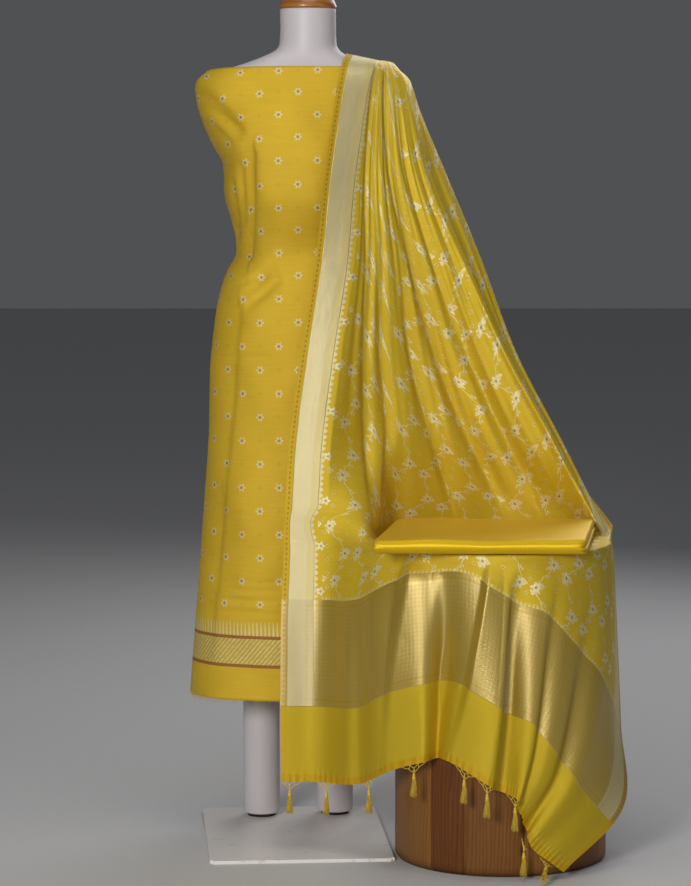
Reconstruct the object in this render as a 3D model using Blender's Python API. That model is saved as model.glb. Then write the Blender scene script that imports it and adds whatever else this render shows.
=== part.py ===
"""Salwar kameez suit shown on a limbless dress form and a round wooden drum.

The kameez is one length of cloth pinned round the form, the dupatta runs from its hem in front of the drum,
over the drum and the form's shoulder and down the back, and the salwar cloth lies folded on the drum.
Metres, +Z up, the wearer faces -Y, origin on the underside of the form's base plate below its axis.
"""

import math

import bmesh
import bpy
import numpy as np
from mathutils import Vector

GAP = 0.0003                     # between neighbouring pieces
SEAM = 0.0004                    # between two cloth stretches that are one length

# ---------------------------------------------------------------- dress form
PLATE_SIZE = (0.325, 0.440, 0.006)
PLATE_CENTRE = (-0.0135, -0.093)
PLATE_TURN = math.radians(4.3)
PLATE_CORNER = 0.006
POST_RADIUS = 0.034
POST_SIDES = 20
POST_TOP = 0.8185
POSTS = {"form_post_left": (-0.079, 0.058), "form_post_right": (0.058, 0.075)}
POST_FOOT_HEIGHT = 0.010
POST_FOOT_RADIUS = 0.026
POST_EDGE = 0.003                # rounding above the foot
TORSO_SIDES = 24
TORSO_POWER = 2.3
# height, half width, front depth, back depth, axis x
TORSO_SECTIONS = (
    (0.819, 0.118, 0.078, 0.100, 0.000),
    (0.828, 0.142, 0.094, 0.110, 0.000),
    (0.870, 0.158, 0.106, 0.114, 0.000),
    (0.950, 0.150, 0.103, 0.102, 0.000),
    (1.020, 0.118, 0.090, 0.088, 0.000),
    (1.060, 0.107, 0.080, 0.068, 0.000),
    (1.120, 0.115, 0.098, 0.072, 0.000),
    (1.180, 0.127, 0.116, 0.078, 0.000),
    (1.230, 0.139, 0.126, 0.091, 0.000),
    (1.290, 0.166, 0.108, 0.092, 0.000),
    (1.340, 0.182, 0.088, 0.086, 0.000),
    (1.368, 0.174, 0.072, 0.076, 0.001),
    (1.388, 0.148, 0.062, 0.068, 0.002),
    (1.402, 0.108, 0.057, 0.062, 0.004),
    (1.414, 0.078, 0.054, 0.058, 0.006),
    (1.426, 0.0575, 0.053, 0.055, 0.009),
    (1.440, 0.0515, 0.052, 0.052, 0.010),
    (1.4995, 0.0505, 0.0505, 0.0505, 0.010),
)
CAP_AXIS_X = 0.010
CAP_BASE = 1.4998
# radius, height above the neck's top
CAP_PROFILE = (
    (0.0500, 0.000),
    (0.0515, 0.003),
    (0.0500, 0.010),
    (0.0420, 0.022),
    (0.0270, 0.032),
    (0.0120, 0.037),
)

# ---------------------------------------------------------------- wooden drum
DRUM_CENTRE = (0.353, -0.233)
DRUM_RADIUS = 0.187
DRUM_HEIGHT = 0.555
DRUM_GROOVE_DEPTH = 0.003
DRUM_GROOVE_TURN = math.radians(1.2)
DRUM_CHAMFER = 0.004
# angle of each joint between two planks, in degrees, 0 at +X and 270 at the front
DRUM_JOINTS = (8, 36, 63, 92, 121, 148, 170, 190, 227, 247.5, 280, 308, 332)

# ---------------------------------------------------------------- kameez
KAMEEZ_WALL = 0.002
KAMEEZ_POWER = 2.25
KAMEEZ_COLUMNS = 18              # per panel
# height, half width, front depth, back depth
KAMEEZ_SECTIONS = (
    (0.253, 0.2090, 0.128, 0.128),
    (0.330, 0.2030, 0.126, 0.126),
    (0.420, 0.1955, 0.124, 0.124),
    (0.520, 0.1880, 0.122, 0.122),
    (0.620, 0.1805, 0.121, 0.122),
    (0.720, 0.1730, 0.120, 0.123),
    (0.800, 0.1710, 0.120, 0.124),
    (0.870, 0.1680, 0.120, 0.124),
    (0.946, 0.1590, 0.117, 0.115),
    (0.998, 0.1480, 0.110, 0.104),
    (1.028, 0.1370, 0.102, 0.096),
    (1.055, 0.1225, 0.096, 0.086),
    (1.085, 0.1225, 0.102, 0.084),
    (1.120, 0.1300, 0.115, 0.088),
    (1.160, 0.1415, 0.129, 0.093),
    (1.223, 0.1460, 0.135, 0.098),
    (1.256, 0.1640, 0.130, 0.101),
    (1.307, 0.1855, 0.114, 0.100),
    (1.340, 0.1935, 0.101, 0.096),
    (1.366, 0.1925, 0.088, 0.090),
    (1.383, 0.1740, 0.078, 0.082),
)
KAMEEZ_TOP_RISE = {-1: 0.012, 1: -0.010}      # top edge at the chest and at the back, above the shoulders
KAMEEZ_TOP_FROM = 1.307
KAMEEZ_PRESS = (0.100, 0.040, 0.007)          # under the dupatta: from x, over this width, lowered by
# fold lines pressed into the panels: side (-1 front, 1 back), x and height at both ends, half width, depth
KAMEEZ_FOLDS = (
    (-1, -0.092, 1.235, -0.098, 1.060, 0.013, 0.007),
    (-1, -0.182, 1.345, -0.118, 1.285, 0.014, 0.008),
    (-1, -0.100, 0.990, -0.055, 1.030, 0.012, 0.004),
    (-1, 0.096, 1.230, 0.100, 1.045, 0.014, 0.006),
    (-1, -0.120, 0.930, -0.150, 0.420, 0.030, 0.004),
    (-1, 0.110, 0.930, 0.145, 0.400, 0.030, 0.005),
    (1, -0.085, 1.190, -0.080, 0.990, 0.014, 0.007),
    (1, 0.080, 1.200, 0.084, 0.985, 0.014, 0.007),
    (1, 0.000, 1.080, 0.012, 0.700, 0.014, 0.006),
    (1, -0.105, 0.900, -0.130, 0.420, 0.030, 0.006),
    (1, 0.080, 0.880, 0.105, 0.400, 0.032, 0.006),
)

# ---------------------------------------------------------------- dupatta
DUPATTA_LENGTH = 2.40
DUPATTA_WALL = 0.0013
DUPATTA_COLUMNS = 40
BORDER_SHARE = 0.10              # of the width, kept flat
BORDER_PROUD = 0.006             # the border's inner side stands this far in front of the fan
HANG_ROWS = 11                   # hem to the drum's lip
TOP_ROWS = 6                     # over the drum's top
FAN_ROWS = 14
BACK_ROWS = 10
SHOULDER_CROWDING = 1.5          # rows lie closer together towards the shoulder
SEAM_STAGE = 0.0006              # gap between two stretches, as a share of a stretch
WARP_SAMPLES = 800
CLOTH_REST = 0.0026              # middle of the cloth above what it lies on
LIP_HEIGHT = DRUM_HEIGHT + CLOTH_REST
LIP_RISE = 0.0012
UNDER_LIP = (0.0030, 0.016)      # the next guide row lies this much further out and lower
FREE_SHARES = (0.19, 0.30)       # the cloth hangs clear of the drum up to here, and lies on it from here
INSIDE_RUN = 0.022               # the guide rows on the drum's top start this far from its edges
INSIDE_SHARE = 0.45              # or at this share of the run, where the top is narrow
MIDDLE_SHARE = 0.65              # of the way to the back, the guide row in the middle
REAR_SHARE = 0.60                # of the inside run, the distance of the last guide row from the back
TOP_RISES = (0.10, 0.50, 0.85)   # share of the rise to the back that these three rows have
# share of the width, then x, y, z at the hem, at the top of the end stripe and at the top of the pallu band
HANG_LINES = (
    (0.00, -0.036, -0.240, 0.131, -0.037, -0.240, 0.262, -0.035, -0.237, 0.440),
    (0.10, 0.038, -0.252, 0.131, 0.038, -0.250, 0.263, 0.040, -0.245, 0.441),
    (0.19, 0.092, -0.310, 0.139, 0.089, -0.310, 0.271, 0.090, -0.300, 0.450),
    (0.25, 0.125, -0.358, 0.160, 0.120, -0.356, 0.289, 0.122, -0.344, 0.463),
    (0.30, 0.164, -0.386, 0.182, 0.159, -0.382, 0.312, 0.160, -0.366, 0.486),
    (0.34, 0.204, -0.410, 0.197, 0.202, -0.404, 0.333, 0.206, -0.390, 0.503),
    (0.43, 0.250, -0.428, 0.205, 0.272, -0.424, 0.340, 0.283, -0.422, 0.508),
    (0.52, 0.318, -0.470, 0.172, 0.335, -0.462, 0.315, 0.345, -0.444, 0.500),
    (0.60, 0.348, -0.440, 0.152, 0.362, -0.438, 0.290, 0.375, -0.436, 0.478),
    (0.68, 0.374, -0.462, 0.140, 0.395, -0.455, 0.242, 0.418, -0.440, 0.440),
    (0.76, 0.380, -0.438, 0.102, 0.428, -0.438, 0.198, 0.462, -0.418, 0.390),
    (0.815, 0.388, -0.444, 0.078, 0.459, -0.426, 0.174, 0.500, -0.388, 0.352),
    (0.87, 0.398, -0.446, 0.056, 0.488, -0.405, 0.150, 0.532, -0.342, 0.315),
    (1.00, 0.451, -0.430, 0.012, 0.562, -0.330, 0.106, 0.564, -0.232, 0.232),
)
# share of the width, then x, y and height above the drum's lip, at the lip and at the back of the drum top
LIP_LINES = (
    (0.00, -0.031, -0.230, 0.000, -0.028, -0.222, 0.065),
    (0.10, 0.043, -0.238, 0.000, 0.047, -0.226, 0.065),
    (0.19, 0.098, -0.280, 0.000, 0.112, -0.218, 0.050),
    (0.25, 0.132, -0.320, 0.000, 0.134, -0.190, 0.004),
    (0.30, 0.170, -0.346, 0.000, 0.158, -0.090, 0.000),
    (0.34, 0.208, -0.370, 0.000, 0.214, -0.066, 0.000),
    (0.43, 0.281, -0.414, 0.000, 0.300, -0.044, 0.000),
    (0.52, 0.345, -0.430, 0.000, 0.375, -0.040, 0.000),
    (0.60, 0.392, -0.426, 0.000, 0.432, -0.052, 0.000),
    (0.68, 0.434, -0.411, 0.000, 0.500, -0.080, 0.000),
    (0.76, 0.478, -0.384, 0.000, 0.535, -0.132, 0.000),
    (0.815, 0.520, -0.332, 0.000, 0.543, -0.134, 0.000),
    (0.87, 0.543, -0.266, -0.002, 0.550, -0.132, 0.002),
    (1.00, 0.556, -0.160, -0.030, 0.558, -0.116, 0.016),
)
# cross-sections of the fan: height of the left selvedge and of the right one, then x and y of the left
# selvedge, the fold edge, the outer layer and the tucked right selvedge, the width that the flat border
# keeps, and how far the middle bows back
FAN_SECTIONS = (
    (0.725, 0.725, -0.022, -0.206, 0.450, -0.112, 0.466, -0.082, 0.444, -0.048, 0.076, 0.070),
    (0.880, 0.880, -0.002, -0.193, 0.365, -0.104, 0.385, -0.070, 0.362, -0.034, 0.075, 0.045),
    (1.050, 1.050, 0.025, -0.180, 0.288, -0.090, 0.322, -0.050, 0.296, -0.006, 0.073, 0.015),
    (1.200, 1.200, 0.041, -0.166, 0.226, -0.072, 0.262, -0.028, 0.244, 0.014, 0.071, 0.000),
    (1.320, 1.316, 0.058, -0.128, 0.197, -0.058, 0.213, -0.020, 0.211, 0.014, 0.067, 0.000),
    (1.393, 1.366, 0.070, -0.096, 0.183, -0.048, 0.195, -0.018, 0.197, 0.008, 0.064, 0.000),
)
# top of the shoulder under the dupatta: height at the axis, slope, steeper slope past its end, rounding
SHOULDER_RIDGE = 1.438
SHOULDER_SLOPE = 0.21
SHOULDER_END = 0.165
SHOULDER_END_SLOPE = 0.90
SHOULDER_ROUND = 0.08
# share, x, y of the line on which the cloth crosses the shoulder
SHOULDER_LINE = (
    (0.00, 0.079, -0.022),
    (0.10, 0.139, -0.018),
    (0.75, 0.173, 0.008),
    (0.88, 0.180, 0.016),
    (1.00, 0.187, 0.026),
)
# how far back the cloth stays on the shoulder, at the left selvedge and how much more at the right one
SHOULDER_DEPTH = (0.056, -0.036)
# the back fall: height of the left selvedge and of the right one, then x and y of the left selvedge, the
# end of the flat border and the right selvedge
BACK_SECTIONS = (
    (1.399, 1.325, 0.079, 0.078, 0.134, 0.082, 0.193, 0.092),
    (1.330, 1.280, 0.076, 0.108, 0.133, 0.108, 0.198, 0.104),
    (1.200, 1.160, 0.068, 0.124, 0.126, 0.124, 0.210, 0.118),
    (0.950, 0.930, 0.042, 0.144, 0.104, 0.144, 0.228, 0.136),
    (0.600, 0.600, 0.012, 0.156, 0.080, 0.156, 0.246, 0.146),
    (0.200, 0.200, -0.002, 0.160, 0.070, 0.160, 0.256, 0.150),
)
EDGE_SHARE = 0.75
OUTER_SHARE = 0.88
# valleys of the fan: share of the width at the shoulder and at the drum, half width and depth in metres,
# and the share of the way up at which they have half faded out
FAN_VALLEYS = (
    (0.135, 0.215, 0.015, 0.013, 0.92),
    (0.225, 0.275, 0.013, 0.010, 0.50),
    (0.270, 0.415, 0.015, 0.012, 0.44),
    (0.330, 0.525, 0.017, 0.018, 1.20),
    (0.500, 0.625, 0.016, 0.012, 0.86),
)
# valleys of the front hang: share of the width at the lip and at the hem, half width as a share too, and
# the depth at the hem in metres
HANG_VALLEYS = (
    (0.215, 0.200, 0.030, 0.012),
    (0.385, 0.380, 0.022, 0.034),
    (0.570, 0.570, 0.020, 0.020),
    (0.700, 0.710, 0.016, 0.012),
    (0.800, 0.790, 0.020, 0.014),
)
FAN_SHARPNESS = 0.60             # width of a valley's left side, as a share of its half width
HANG_SHARPNESS = 0.75
VALLEY_EASE = 1.30               # and of its right side
FAN_VALLEY_BEND = 1.35           # how late a valley's line turns towards its place at the shoulder
FAN_VALLEY_THINNING = 0.72       # how much shallower the valleys are at the shoulder
HANG_VALLEY_START = 0.7          # share of the hang over which its valleys deepen
BACK_FOLDS = 6
BACK_FOLD_DEPTH = 0.011

# ---------------------------------------------------------------- salwar cloth, folded
SALWAR_TOP = 0.0265
SALWAR_BASE = LIP_HEIGHT + 0.0030
# x, y of the corners, front left first, anticlockwise from above
SALWAR_CORNERS = ((0.121, -0.432), (0.488, -0.442), (0.528, -0.124), (0.168, -0.106))
SALWAR_CORNER_RADIUS = 0.014
SALWAR_SIDE_POINTS = 10
# share of the height, inset of the smooth edges, inset of the layered edges
SALWAR_LEVELS = (
    (0.00, 0.0100, 0.0040),
    (0.12, 0.0040, 0.0010),
    (0.26, 0.0012, 0.0000),
    (0.32, 0.0006, 0.0060),
    (0.38, 0.0003, 0.0000),
    (0.54, 0.0000, 0.0015),
    (0.60, 0.0003, 0.0075),
    (0.66, 0.0006, 0.0020),
    (0.82, 0.0030, 0.0030),
    (0.88, 0.0048, 0.0090),
    (0.94, 0.0080, 0.0050),
    (1.00, 0.0150, 0.0100),
)

# ---------------------------------------------------------------- tassels
# share of the hem, half width of the net, shift in x
TASSELS_FRONT = (
    (0.020, 0.0120, 0.000),
    (0.110, 0.0115, 0.000),
    (0.228, 0.0120, 0.000),
    (0.330, 0.0125, 0.000),
    (0.470, 0.0110, 0.000),
    (0.520, 0.0110, 0.000),
    (0.650, 0.0125, 0.000),
    (0.845, 0.0060, -0.010),
    (0.940, 0.0080, -0.004),
)
TASSELS_BACK = tuple((0.03 + 0.155 * i, 0.0085, 0.000) for i in range(7))
HEM_STAGE = 0.1                  # stretch of cloth that gives the hem's normals
# how much of the hem's slope the net keeps
NET_SLOPE_FRONT = 0.6
NET_SLOPE_BACK = 1.0
NET_GAP = 0.0042
TASSEL_FLOOR_REST = 0.0075
TASSEL_NET_DROP = 0.016
NET_KNOT_SHARE = 0.45            # how far down the net its middle knots hang
NET_INTO_HEAD = 0.0035
TASSEL_CORD_RADIUS = 0.0009
TASSEL_STRANDS = 8
# radius, distance below the head's top
TASSEL_HEAD = ((0.0016, 0.000), (0.0034, 0.003), (0.0030, 0.007), (0.0044, 0.011))
TASSEL_STRAND_LENGTH = 0.032
TASSEL_SPREAD = 1.9
TASSEL_TIP_TAPER = 0.55
TASSEL_CORE_SHARE = 0.45         # of the head's lower radius, where the strands stand round its axis
TASSEL_FLOOR_CLEAR = 0.0012

YELLOW = (0.60, 0.40, 0.045)
YELLOW_DEEP = (0.50, 0.30, 0.020)
DUPATTA_GOLD = (0.52, 0.39, 0.075)
FORM_WHITE = (0.60, 0.56, 0.58)
DRUM_BROWN = (0.20, 0.085, 0.032)
CAP_BROWN = (0.36, 0.16, 0.055)


def clear_scene():
    for item in list(bpy.data.objects):
        bpy.data.objects.remove(item, do_unlink=True)


def make_material(name, colour, roughness, metallic=0.0):
    material = bpy.data.materials.new(name)
    material.use_nodes = True
    shader = material.node_tree.nodes["Principled BSDF"]
    shader.inputs["Base Color"].default_value = (*colour, 1.0)
    shader.inputs["Roughness"].default_value = roughness
    shader.inputs["Metallic"].default_value = metallic
    return material


def add_object(name, bm, material, smooth=True):
    """Turn a bmesh into a named object with its own material."""
    bmesh.ops.recalc_face_normals(bm, faces=bm.faces)
    if bm.calc_volume(signed=True) < 0:
        bmesh.ops.reverse_faces(bm, faces=bm.faces)
    mesh = bpy.data.meshes.new(name)
    bm.to_mesh(mesh)
    bm.free()
    mesh.materials.append(material)
    if smooth:
        mesh.shade_smooth()
    item = bpy.data.objects.new(name, mesh)
    bpy.context.collection.objects.link(item)
    return item


def spline(knots, values, at):
    """Smooth curve through values at knots (Hermite, tangents from the neighbours), read at `at`."""
    knots = np.asarray(knots, float)
    values = np.asarray(values, float)
    at = np.clip(np.asarray(at, float), knots[0], knots[-1])
    slopes = np.empty_like(values)
    slopes[1:-1] = (values[2:] - values[:-2]) / (knots[2:] - knots[:-2])[:, None]
    slopes[0] = (values[1] - values[0]) / (knots[1] - knots[0])
    slopes[-1] = (values[-1] - values[-2]) / (knots[-1] - knots[-2])
    low = np.clip(np.searchsorted(knots, at, side="right") - 1, 0, len(knots) - 2)
    step = knots[low + 1] - knots[low]
    t = ((at - knots[low]) / step)[:, None]
    step = step[:, None]
    start, end = values[low], values[low + 1]
    return (
        (2 * t**3 - 3 * t**2 + 1) * start
        + (t**3 - 2 * t**2 + t) * step * slopes[low]
        + (3 * t**2 - 2 * t**3) * end
        + (t**3 - t**2) * step * slopes[low + 1]
    )


def smooth_step(value):
    value = np.clip(value, 0.0, 1.0)
    return value * value * (3 - 2 * value)


def grid_normals(points, seams=()):
    """Unit normals of a grid of points, rows by columns; both rows at a seam share theirs."""
    along = np.gradient(points, axis=0)
    across = np.gradient(points, axis=1)
    normals = np.cross(across, along)
    normals /= np.maximum(np.linalg.norm(normals, axis=2, keepdims=True), 1e-9)
    for row in seams:
        shared = normals[row - 1] + normals[row]
        normals[row - 1] = normals[row] = shared / np.linalg.norm(shared, axis=1, keepdims=True)
    return normals


def wall_from_grid(points, normals, thickness):
    """Closed wall of even thickness round a grid of points."""
    offset = normals * (thickness / 2)
    rows, columns = points.shape[:2]
    bm = bmesh.new()
    outer = [[bm.verts.new(p) for p in row] for row in points + offset]
    inner = [[bm.verts.new(p) for p in row] for row in points - offset]
    for r in range(rows - 1):
        for c in range(columns - 1):
            bm.faces.new((outer[r][c], outer[r][c + 1], outer[r + 1][c + 1], outer[r + 1][c]))
            bm.faces.new((inner[r][c], inner[r + 1][c], inner[r + 1][c + 1], inner[r][c + 1]))
    for r in range(rows - 1):
        bm.faces.new((outer[r][0], outer[r + 1][0], inner[r + 1][0], inner[r][0]))
        bm.faces.new((outer[r][-1], inner[r][-1], inner[r + 1][-1], outer[r + 1][-1]))
    for c in range(columns - 1):
        bm.faces.new((outer[0][c], inner[0][c], inner[0][c + 1], outer[0][c + 1]))
        bm.faces.new((outer[-1][c], outer[-1][c + 1], inner[-1][c + 1], inner[-1][c]))
    return bm


def loft(rings):
    """Closed solid through rings of points, with flat ends."""
    bm = bmesh.new()
    loops = [[bm.verts.new(p) for p in ring] for ring in rings]
    for lower, upper in zip(loops, loops[1:]):
        for i in range(len(lower)):
            j = (i + 1) % len(lower)
            bm.faces.new((lower[i], lower[j], upper[j], upper[i]))
    bm.faces.new(list(reversed(loops[0])))
    bm.faces.new(loops[-1])
    return bm


def oval(angle, half_width, front, back, power):
    """Point of a rounded oval; angle 0 is +X, a quarter turn is the back."""
    c, s = math.cos(angle), math.sin(angle)
    x = half_width * math.copysign(abs(c) ** (2 / power), c)
    depth = back if s > 0 else front
    y = depth * math.copysign(abs(s) ** (2 / power), s)
    return x, y


# ---------------------------------------------------------------- what carries the cloth
def build_form(material, cap_material, plate_material):
    rings = []
    for height, half_width, front, back, axis in TORSO_SECTIONS:
        ring = []
        power = 2.0 if half_width < 0.06 else TORSO_POWER
        for i in range(TORSO_SIDES):
            x, y = oval(2 * math.pi * i / TORSO_SIDES, half_width, front, back, power)
            ring.append((axis + x, y, height))
        rings.append(ring)
    add_object("form_torso", loft(rings), material)

    rings = []
    for radius, height in CAP_PROFILE:
        turn = [2 * math.pi * i / TORSO_SIDES for i in range(TORSO_SIDES)]
        ring = [(radius * math.cos(a), radius * math.sin(a)) for a in turn]
        rings.append([(CAP_AXIS_X + x, y, CAP_BASE + height) for x, y in ring])
    add_object("form_neck_cap", loft(rings), cap_material)

    floor = PLATE_SIZE[2] + GAP
    for name, (x, y) in POSTS.items():
        rings = []
        for radius, height in (
            (POST_FOOT_RADIUS, floor),
            (POST_FOOT_RADIUS, floor + POST_FOOT_HEIGHT * 0.6),
            (POST_RADIUS - POST_EDGE, floor + POST_FOOT_HEIGHT * 0.7),
            (POST_RADIUS, floor + POST_FOOT_HEIGHT),
            (POST_RADIUS, POST_TOP),
        ):
            turn = [2 * math.pi * i / POST_SIDES for i in range(POST_SIDES)]
            rings.append([(x + radius * math.cos(a), y + radius * math.sin(a), height) for a in turn])
        add_object(name, loft(rings), material)

    bm = bmesh.new()
    bmesh.ops.create_cube(bm, size=1.0)
    bmesh.ops.scale(bm, vec=PLATE_SIZE, verts=bm.verts)
    upright = [e for e in bm.edges if abs(e.verts[0].co.z - e.verts[1].co.z) > PLATE_SIZE[2] / 2]
    bmesh.ops.bevel(bm, geom=upright, offset=PLATE_CORNER, segments=3, affect="EDGES")
    plate = add_object("form_base_plate", bm, plate_material, smooth=False)
    plate.location = (*PLATE_CENTRE, PLATE_SIZE[2] / 2)
    plate.rotation_euler = (0.0, 0.0, PLATE_TURN)


def drum_angles():
    """Angles round the drum, with the share of the groove's depth at each."""
    steps = []
    joints = list(DRUM_JOINTS)
    for start, end in zip(joints, joints[1:] + [joints[0] + 360]):
        a, b = math.radians(start), math.radians(end)
        steps.append((a, 1.0))
        steps.append((a + DRUM_GROOVE_TURN, 0.0))
        steps.append(((a + b) / 2, 0.0))
        steps.append((b - DRUM_GROOVE_TURN, 0.0))
    return steps


def build_drum(material):
    rings = []
    for height, inset in (
        (0.0, DRUM_CHAMFER),
        (DRUM_CHAMFER, 0.0),
        (DRUM_HEIGHT - DRUM_CHAMFER, 0.0),
        (DRUM_HEIGHT, DRUM_CHAMFER),
    ):
        ring = []
        for angle, groove in drum_angles():
            radius = DRUM_RADIUS - inset - groove * DRUM_GROOVE_DEPTH
            x = DRUM_CENTRE[0] + radius * math.cos(angle)
            y = DRUM_CENTRE[1] + radius * math.sin(angle)
            ring.append((x, y, height))
        rings.append(ring)
    add_object("wood_drum", loft(rings), material, smooth=False)


# ---------------------------------------------------------------- kameez
def kameez_point(height, angle, side):
    """Point of the kameez's middle surface; side -1 is the front panel."""
    heights = [row[0] for row in KAMEEZ_SECTIONS]
    sizes = spline(heights, [row[1:] for row in KAMEEZ_SECTIONS], [height])[0]
    x, y = oval(angle, sizes[0], sizes[1], sizes[2], KAMEEZ_POWER)
    rise = smooth_step((height - KAMEEZ_TOP_FROM) / (heights[-1] - KAMEEZ_TOP_FROM))
    z = height + float(rise) * KAMEEZ_TOP_RISE[side] * abs(math.sin(angle)) ** 0.5
    press_from, press_over, press = KAMEEZ_PRESS
    z -= press * float(rise * smooth_step((x - press_from) / press_over))
    push = 0.0
    for fold_side, x1, z1, x2, z2, half, depth in KAMEEZ_FOLDS:
        if fold_side != side:
            continue
        run = np.array((x2 - x1, z2 - z1))
        share = np.dot((x - x1, z - z1), run) / np.dot(run, run)
        near = min(max(share, 0.0), 1.0)
        away = math.hypot(x - x1 - near * run[0], z - z1 - near * run[1])
        push += depth * math.exp(-((away / half) ** 2)) * (0.55 + 0.45 * math.sin(math.pi * near))
    scale = 1 - push / max(math.hypot(x, y), 0.05)
    return x * scale, y * scale, z


def build_kameez(material):
    heights = [row[0] for row in KAMEEZ_SECTIONS]
    for name, side in (("kameez_front", -1), ("kameez_back", 1)):
        grid = []
        for height in heights:
            row = []
            for c in range(KAMEEZ_COLUMNS + 1):
                share = c / KAMEEZ_COLUMNS
                if side < 0:
                    angle = math.pi + math.pi * share
                else:
                    angle = math.pi * share
                x, y, z = kameez_point(height, angle, side)
                if c in (0, KAMEEZ_COLUMNS):
                    y = side * SEAM / 2
                row.append((x, y, z))
            grid.append(row)
        grid = np.array(grid)
        bm = wall_from_grid(grid, grid_normals(grid), KAMEEZ_WALL)
        for vert in bm.verts:
            if side * vert.co.y < SEAM / 2:
                vert.co.y = side * SEAM / 2
        add_object(name, bm, material)


# ---------------------------------------------------------------- dupatta
def shoulder_height(x, y):
    """Height of the cloth on top of the form's shoulder."""
    ridge = SHOULDER_RIDGE - SHOULDER_SLOPE * x - SHOULDER_END_SLOPE * max(x - SHOULDER_END, 0.0)
    return ridge - y * y / (2 * SHOULDER_ROUND)


def fan_section(row, shares):
    """Points of one cross-section of the fan at the given shares of the width."""
    left_height, right_height, x0, y0, x1, y1, x2, y2, x3, y3, border, bow = row
    start = np.array((x0, y0))
    edge = np.array((x1, y1))
    heading = (edge - start) / np.linalg.norm(edge - start)
    inner = start + heading * border - np.array((0.0, BORDER_PROUD))
    stations = (0.0, BORDER_SHARE, EDGE_SHARE, OUTER_SHARE, 1.0)
    line = (start, inner, edge, np.array((x2, y2)), np.array((x3, y3)))
    x = np.interp(shares, stations, [point[0] for point in line])
    y = np.interp(shares, stations, [point[1] for point in line])
    y += bow * np.sin(math.pi * np.clip((shares - BORDER_SHARE) / (EDGE_SHARE - BORDER_SHARE), 0.0, 1.0))
    return np.column_stack([x, y, left_height + (right_height - left_height) * shares])


def guide_rows(shares):
    """Rows of points from the front hem to the back hem, each across the whole width.

    Also gives the numbers of the rows at the front hem, drum lip, back of the drum top and shoulder.
    """
    hang = np.array(HANG_LINES)
    lips = np.array(LIP_LINES)
    knots = hang[:, 0]
    centre = np.array(DRUM_CENTRE)
    rim = lips[:, 1:3]
    back = lips[:, 4:6]
    low = LIP_HEIGHT + lips[:, 3:4]
    high = LIP_HEIGHT + lips[:, 6:7]
    outward = (rim - centre) / np.linalg.norm(rim - centre, axis=1, keepdims=True)
    held = smooth_step((knots[:, None] - FREE_SHARES[0]) / (FREE_SHARES[1] - FREE_SHARES[0]))
    run = np.linalg.norm(back - rim, axis=1, keepdims=True)
    step = (back - rim) / run * np.minimum(INSIDE_RUN, INSIDE_SHARE * run)
    rows = [
        hang[:, 1:4],
        hang[:, 4:7],
        hang[:, 7:10],
        np.hstack([rim + outward * UNDER_LIP[0] * held, low - UNDER_LIP[1]]),
        np.hstack([rim, low + LIP_RISE * held]),
    ]
    on_top = (rim + step, rim + (back - rim) * MIDDLE_SHARE, back - step * REAR_SHARE)
    for share, place in zip(TOP_RISES, on_top):
        free = rim + (back - rim) * share
        rows.append(np.hstack([free + (place - free) * held, low + (high - low) * share]))
    rows.append(np.hstack([back, high]))
    lip_row = 4
    rows = [spline(knots, row, shares) for row in rows]
    rear_row = len(rows) - 1
    rows += [fan_section(row, shares) for row in FAN_SECTIONS]
    line = np.array(SHOULDER_LINE)
    top = np.column_stack([np.interp(shares, line[:, 0], line[:, i]) for i in (1, 2)])
    rows.append(np.column_stack([top, [shoulder_height(x, y) for x, y in top]]))
    shoulder_row = len(rows) - 1
    top = top + np.column_stack([np.zeros(len(shares)), SHOULDER_DEPTH[0] + SHOULDER_DEPTH[1] * shares])
    rows.append(np.column_stack([top, [shoulder_height(x, y) for x, y in top]]))
    for left_height, right_height, x0, y0, x1, y1, x2, y2 in BACK_SECTIONS:
        stations = (0.0, BORDER_SHARE, 1.0)
        x = np.interp(shares, stations, (x0, x1, x2))
        y = np.interp(shares, stations, (y0, y1, y2))
        rows.append(np.column_stack([x, y, left_height + (right_height - left_height) * shares]))
    return np.array(rows), (0, lip_row, rear_row, shoulder_row)


def along_warps(shares, stages):
    """Points at the given stages of each warp line.

    Stage 0 is the front hem, 1 the drum's lip, 2 the back of its top, 3 the shoulder and 4 the back hem.
    """
    rows, marked = guide_rows(shares)
    points = np.empty((len(stages), len(shares), 3))
    for c in range(len(shares)):
        line = rows[:, c]
        chord = np.concatenate([[0.0], np.cumsum(np.linalg.norm(np.diff(line, axis=0), axis=1))])
        fine = np.linspace(0.0, chord[-1], WARP_SAMPLES)
        curve = spline(chord, line, fine)
        length = np.concatenate([[0.0], np.cumsum(np.linalg.norm(np.diff(curve, axis=0), axis=1))])
        marks = np.interp(chord[list(marked)], fine, length)
        distances = np.interp(stages, range(5), (*marks, DUPATTA_LENGTH))
        for i in range(3):
            points[:, c, i] = np.interp(distances, length, curve[:, i])
    return points


def rest_on_drum(points):
    """Move points that would be inside the drum up on its top or out to its side."""
    offset = points[..., :2] - np.array(DRUM_CENTRE)
    radius = np.linalg.norm(offset, axis=-1)
    least = DRUM_RADIUS + CLOTH_REST
    over = radius < least
    on_top = over & (points[..., 2] > DRUM_HEIGHT - UNDER_LIP[1] / 2)
    points[..., 2] = np.where(on_top, np.maximum(points[..., 2], LIP_HEIGHT), points[..., 2])
    beside = over & ~on_top
    scale = np.where(beside, least / np.maximum(radius, 1e-6), 1.0)
    points[..., :2] = np.array(DRUM_CENTRE) + offset * scale[..., None]
    return points


def valley(shares, centre, half, sharp):
    """Cross-section of one valley, steeper on its left side."""
    side = np.where(shares < centre, sharp, VALLEY_EASE)
    return np.exp(-(((shares - centre) / (half * side)) ** 2))


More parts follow.
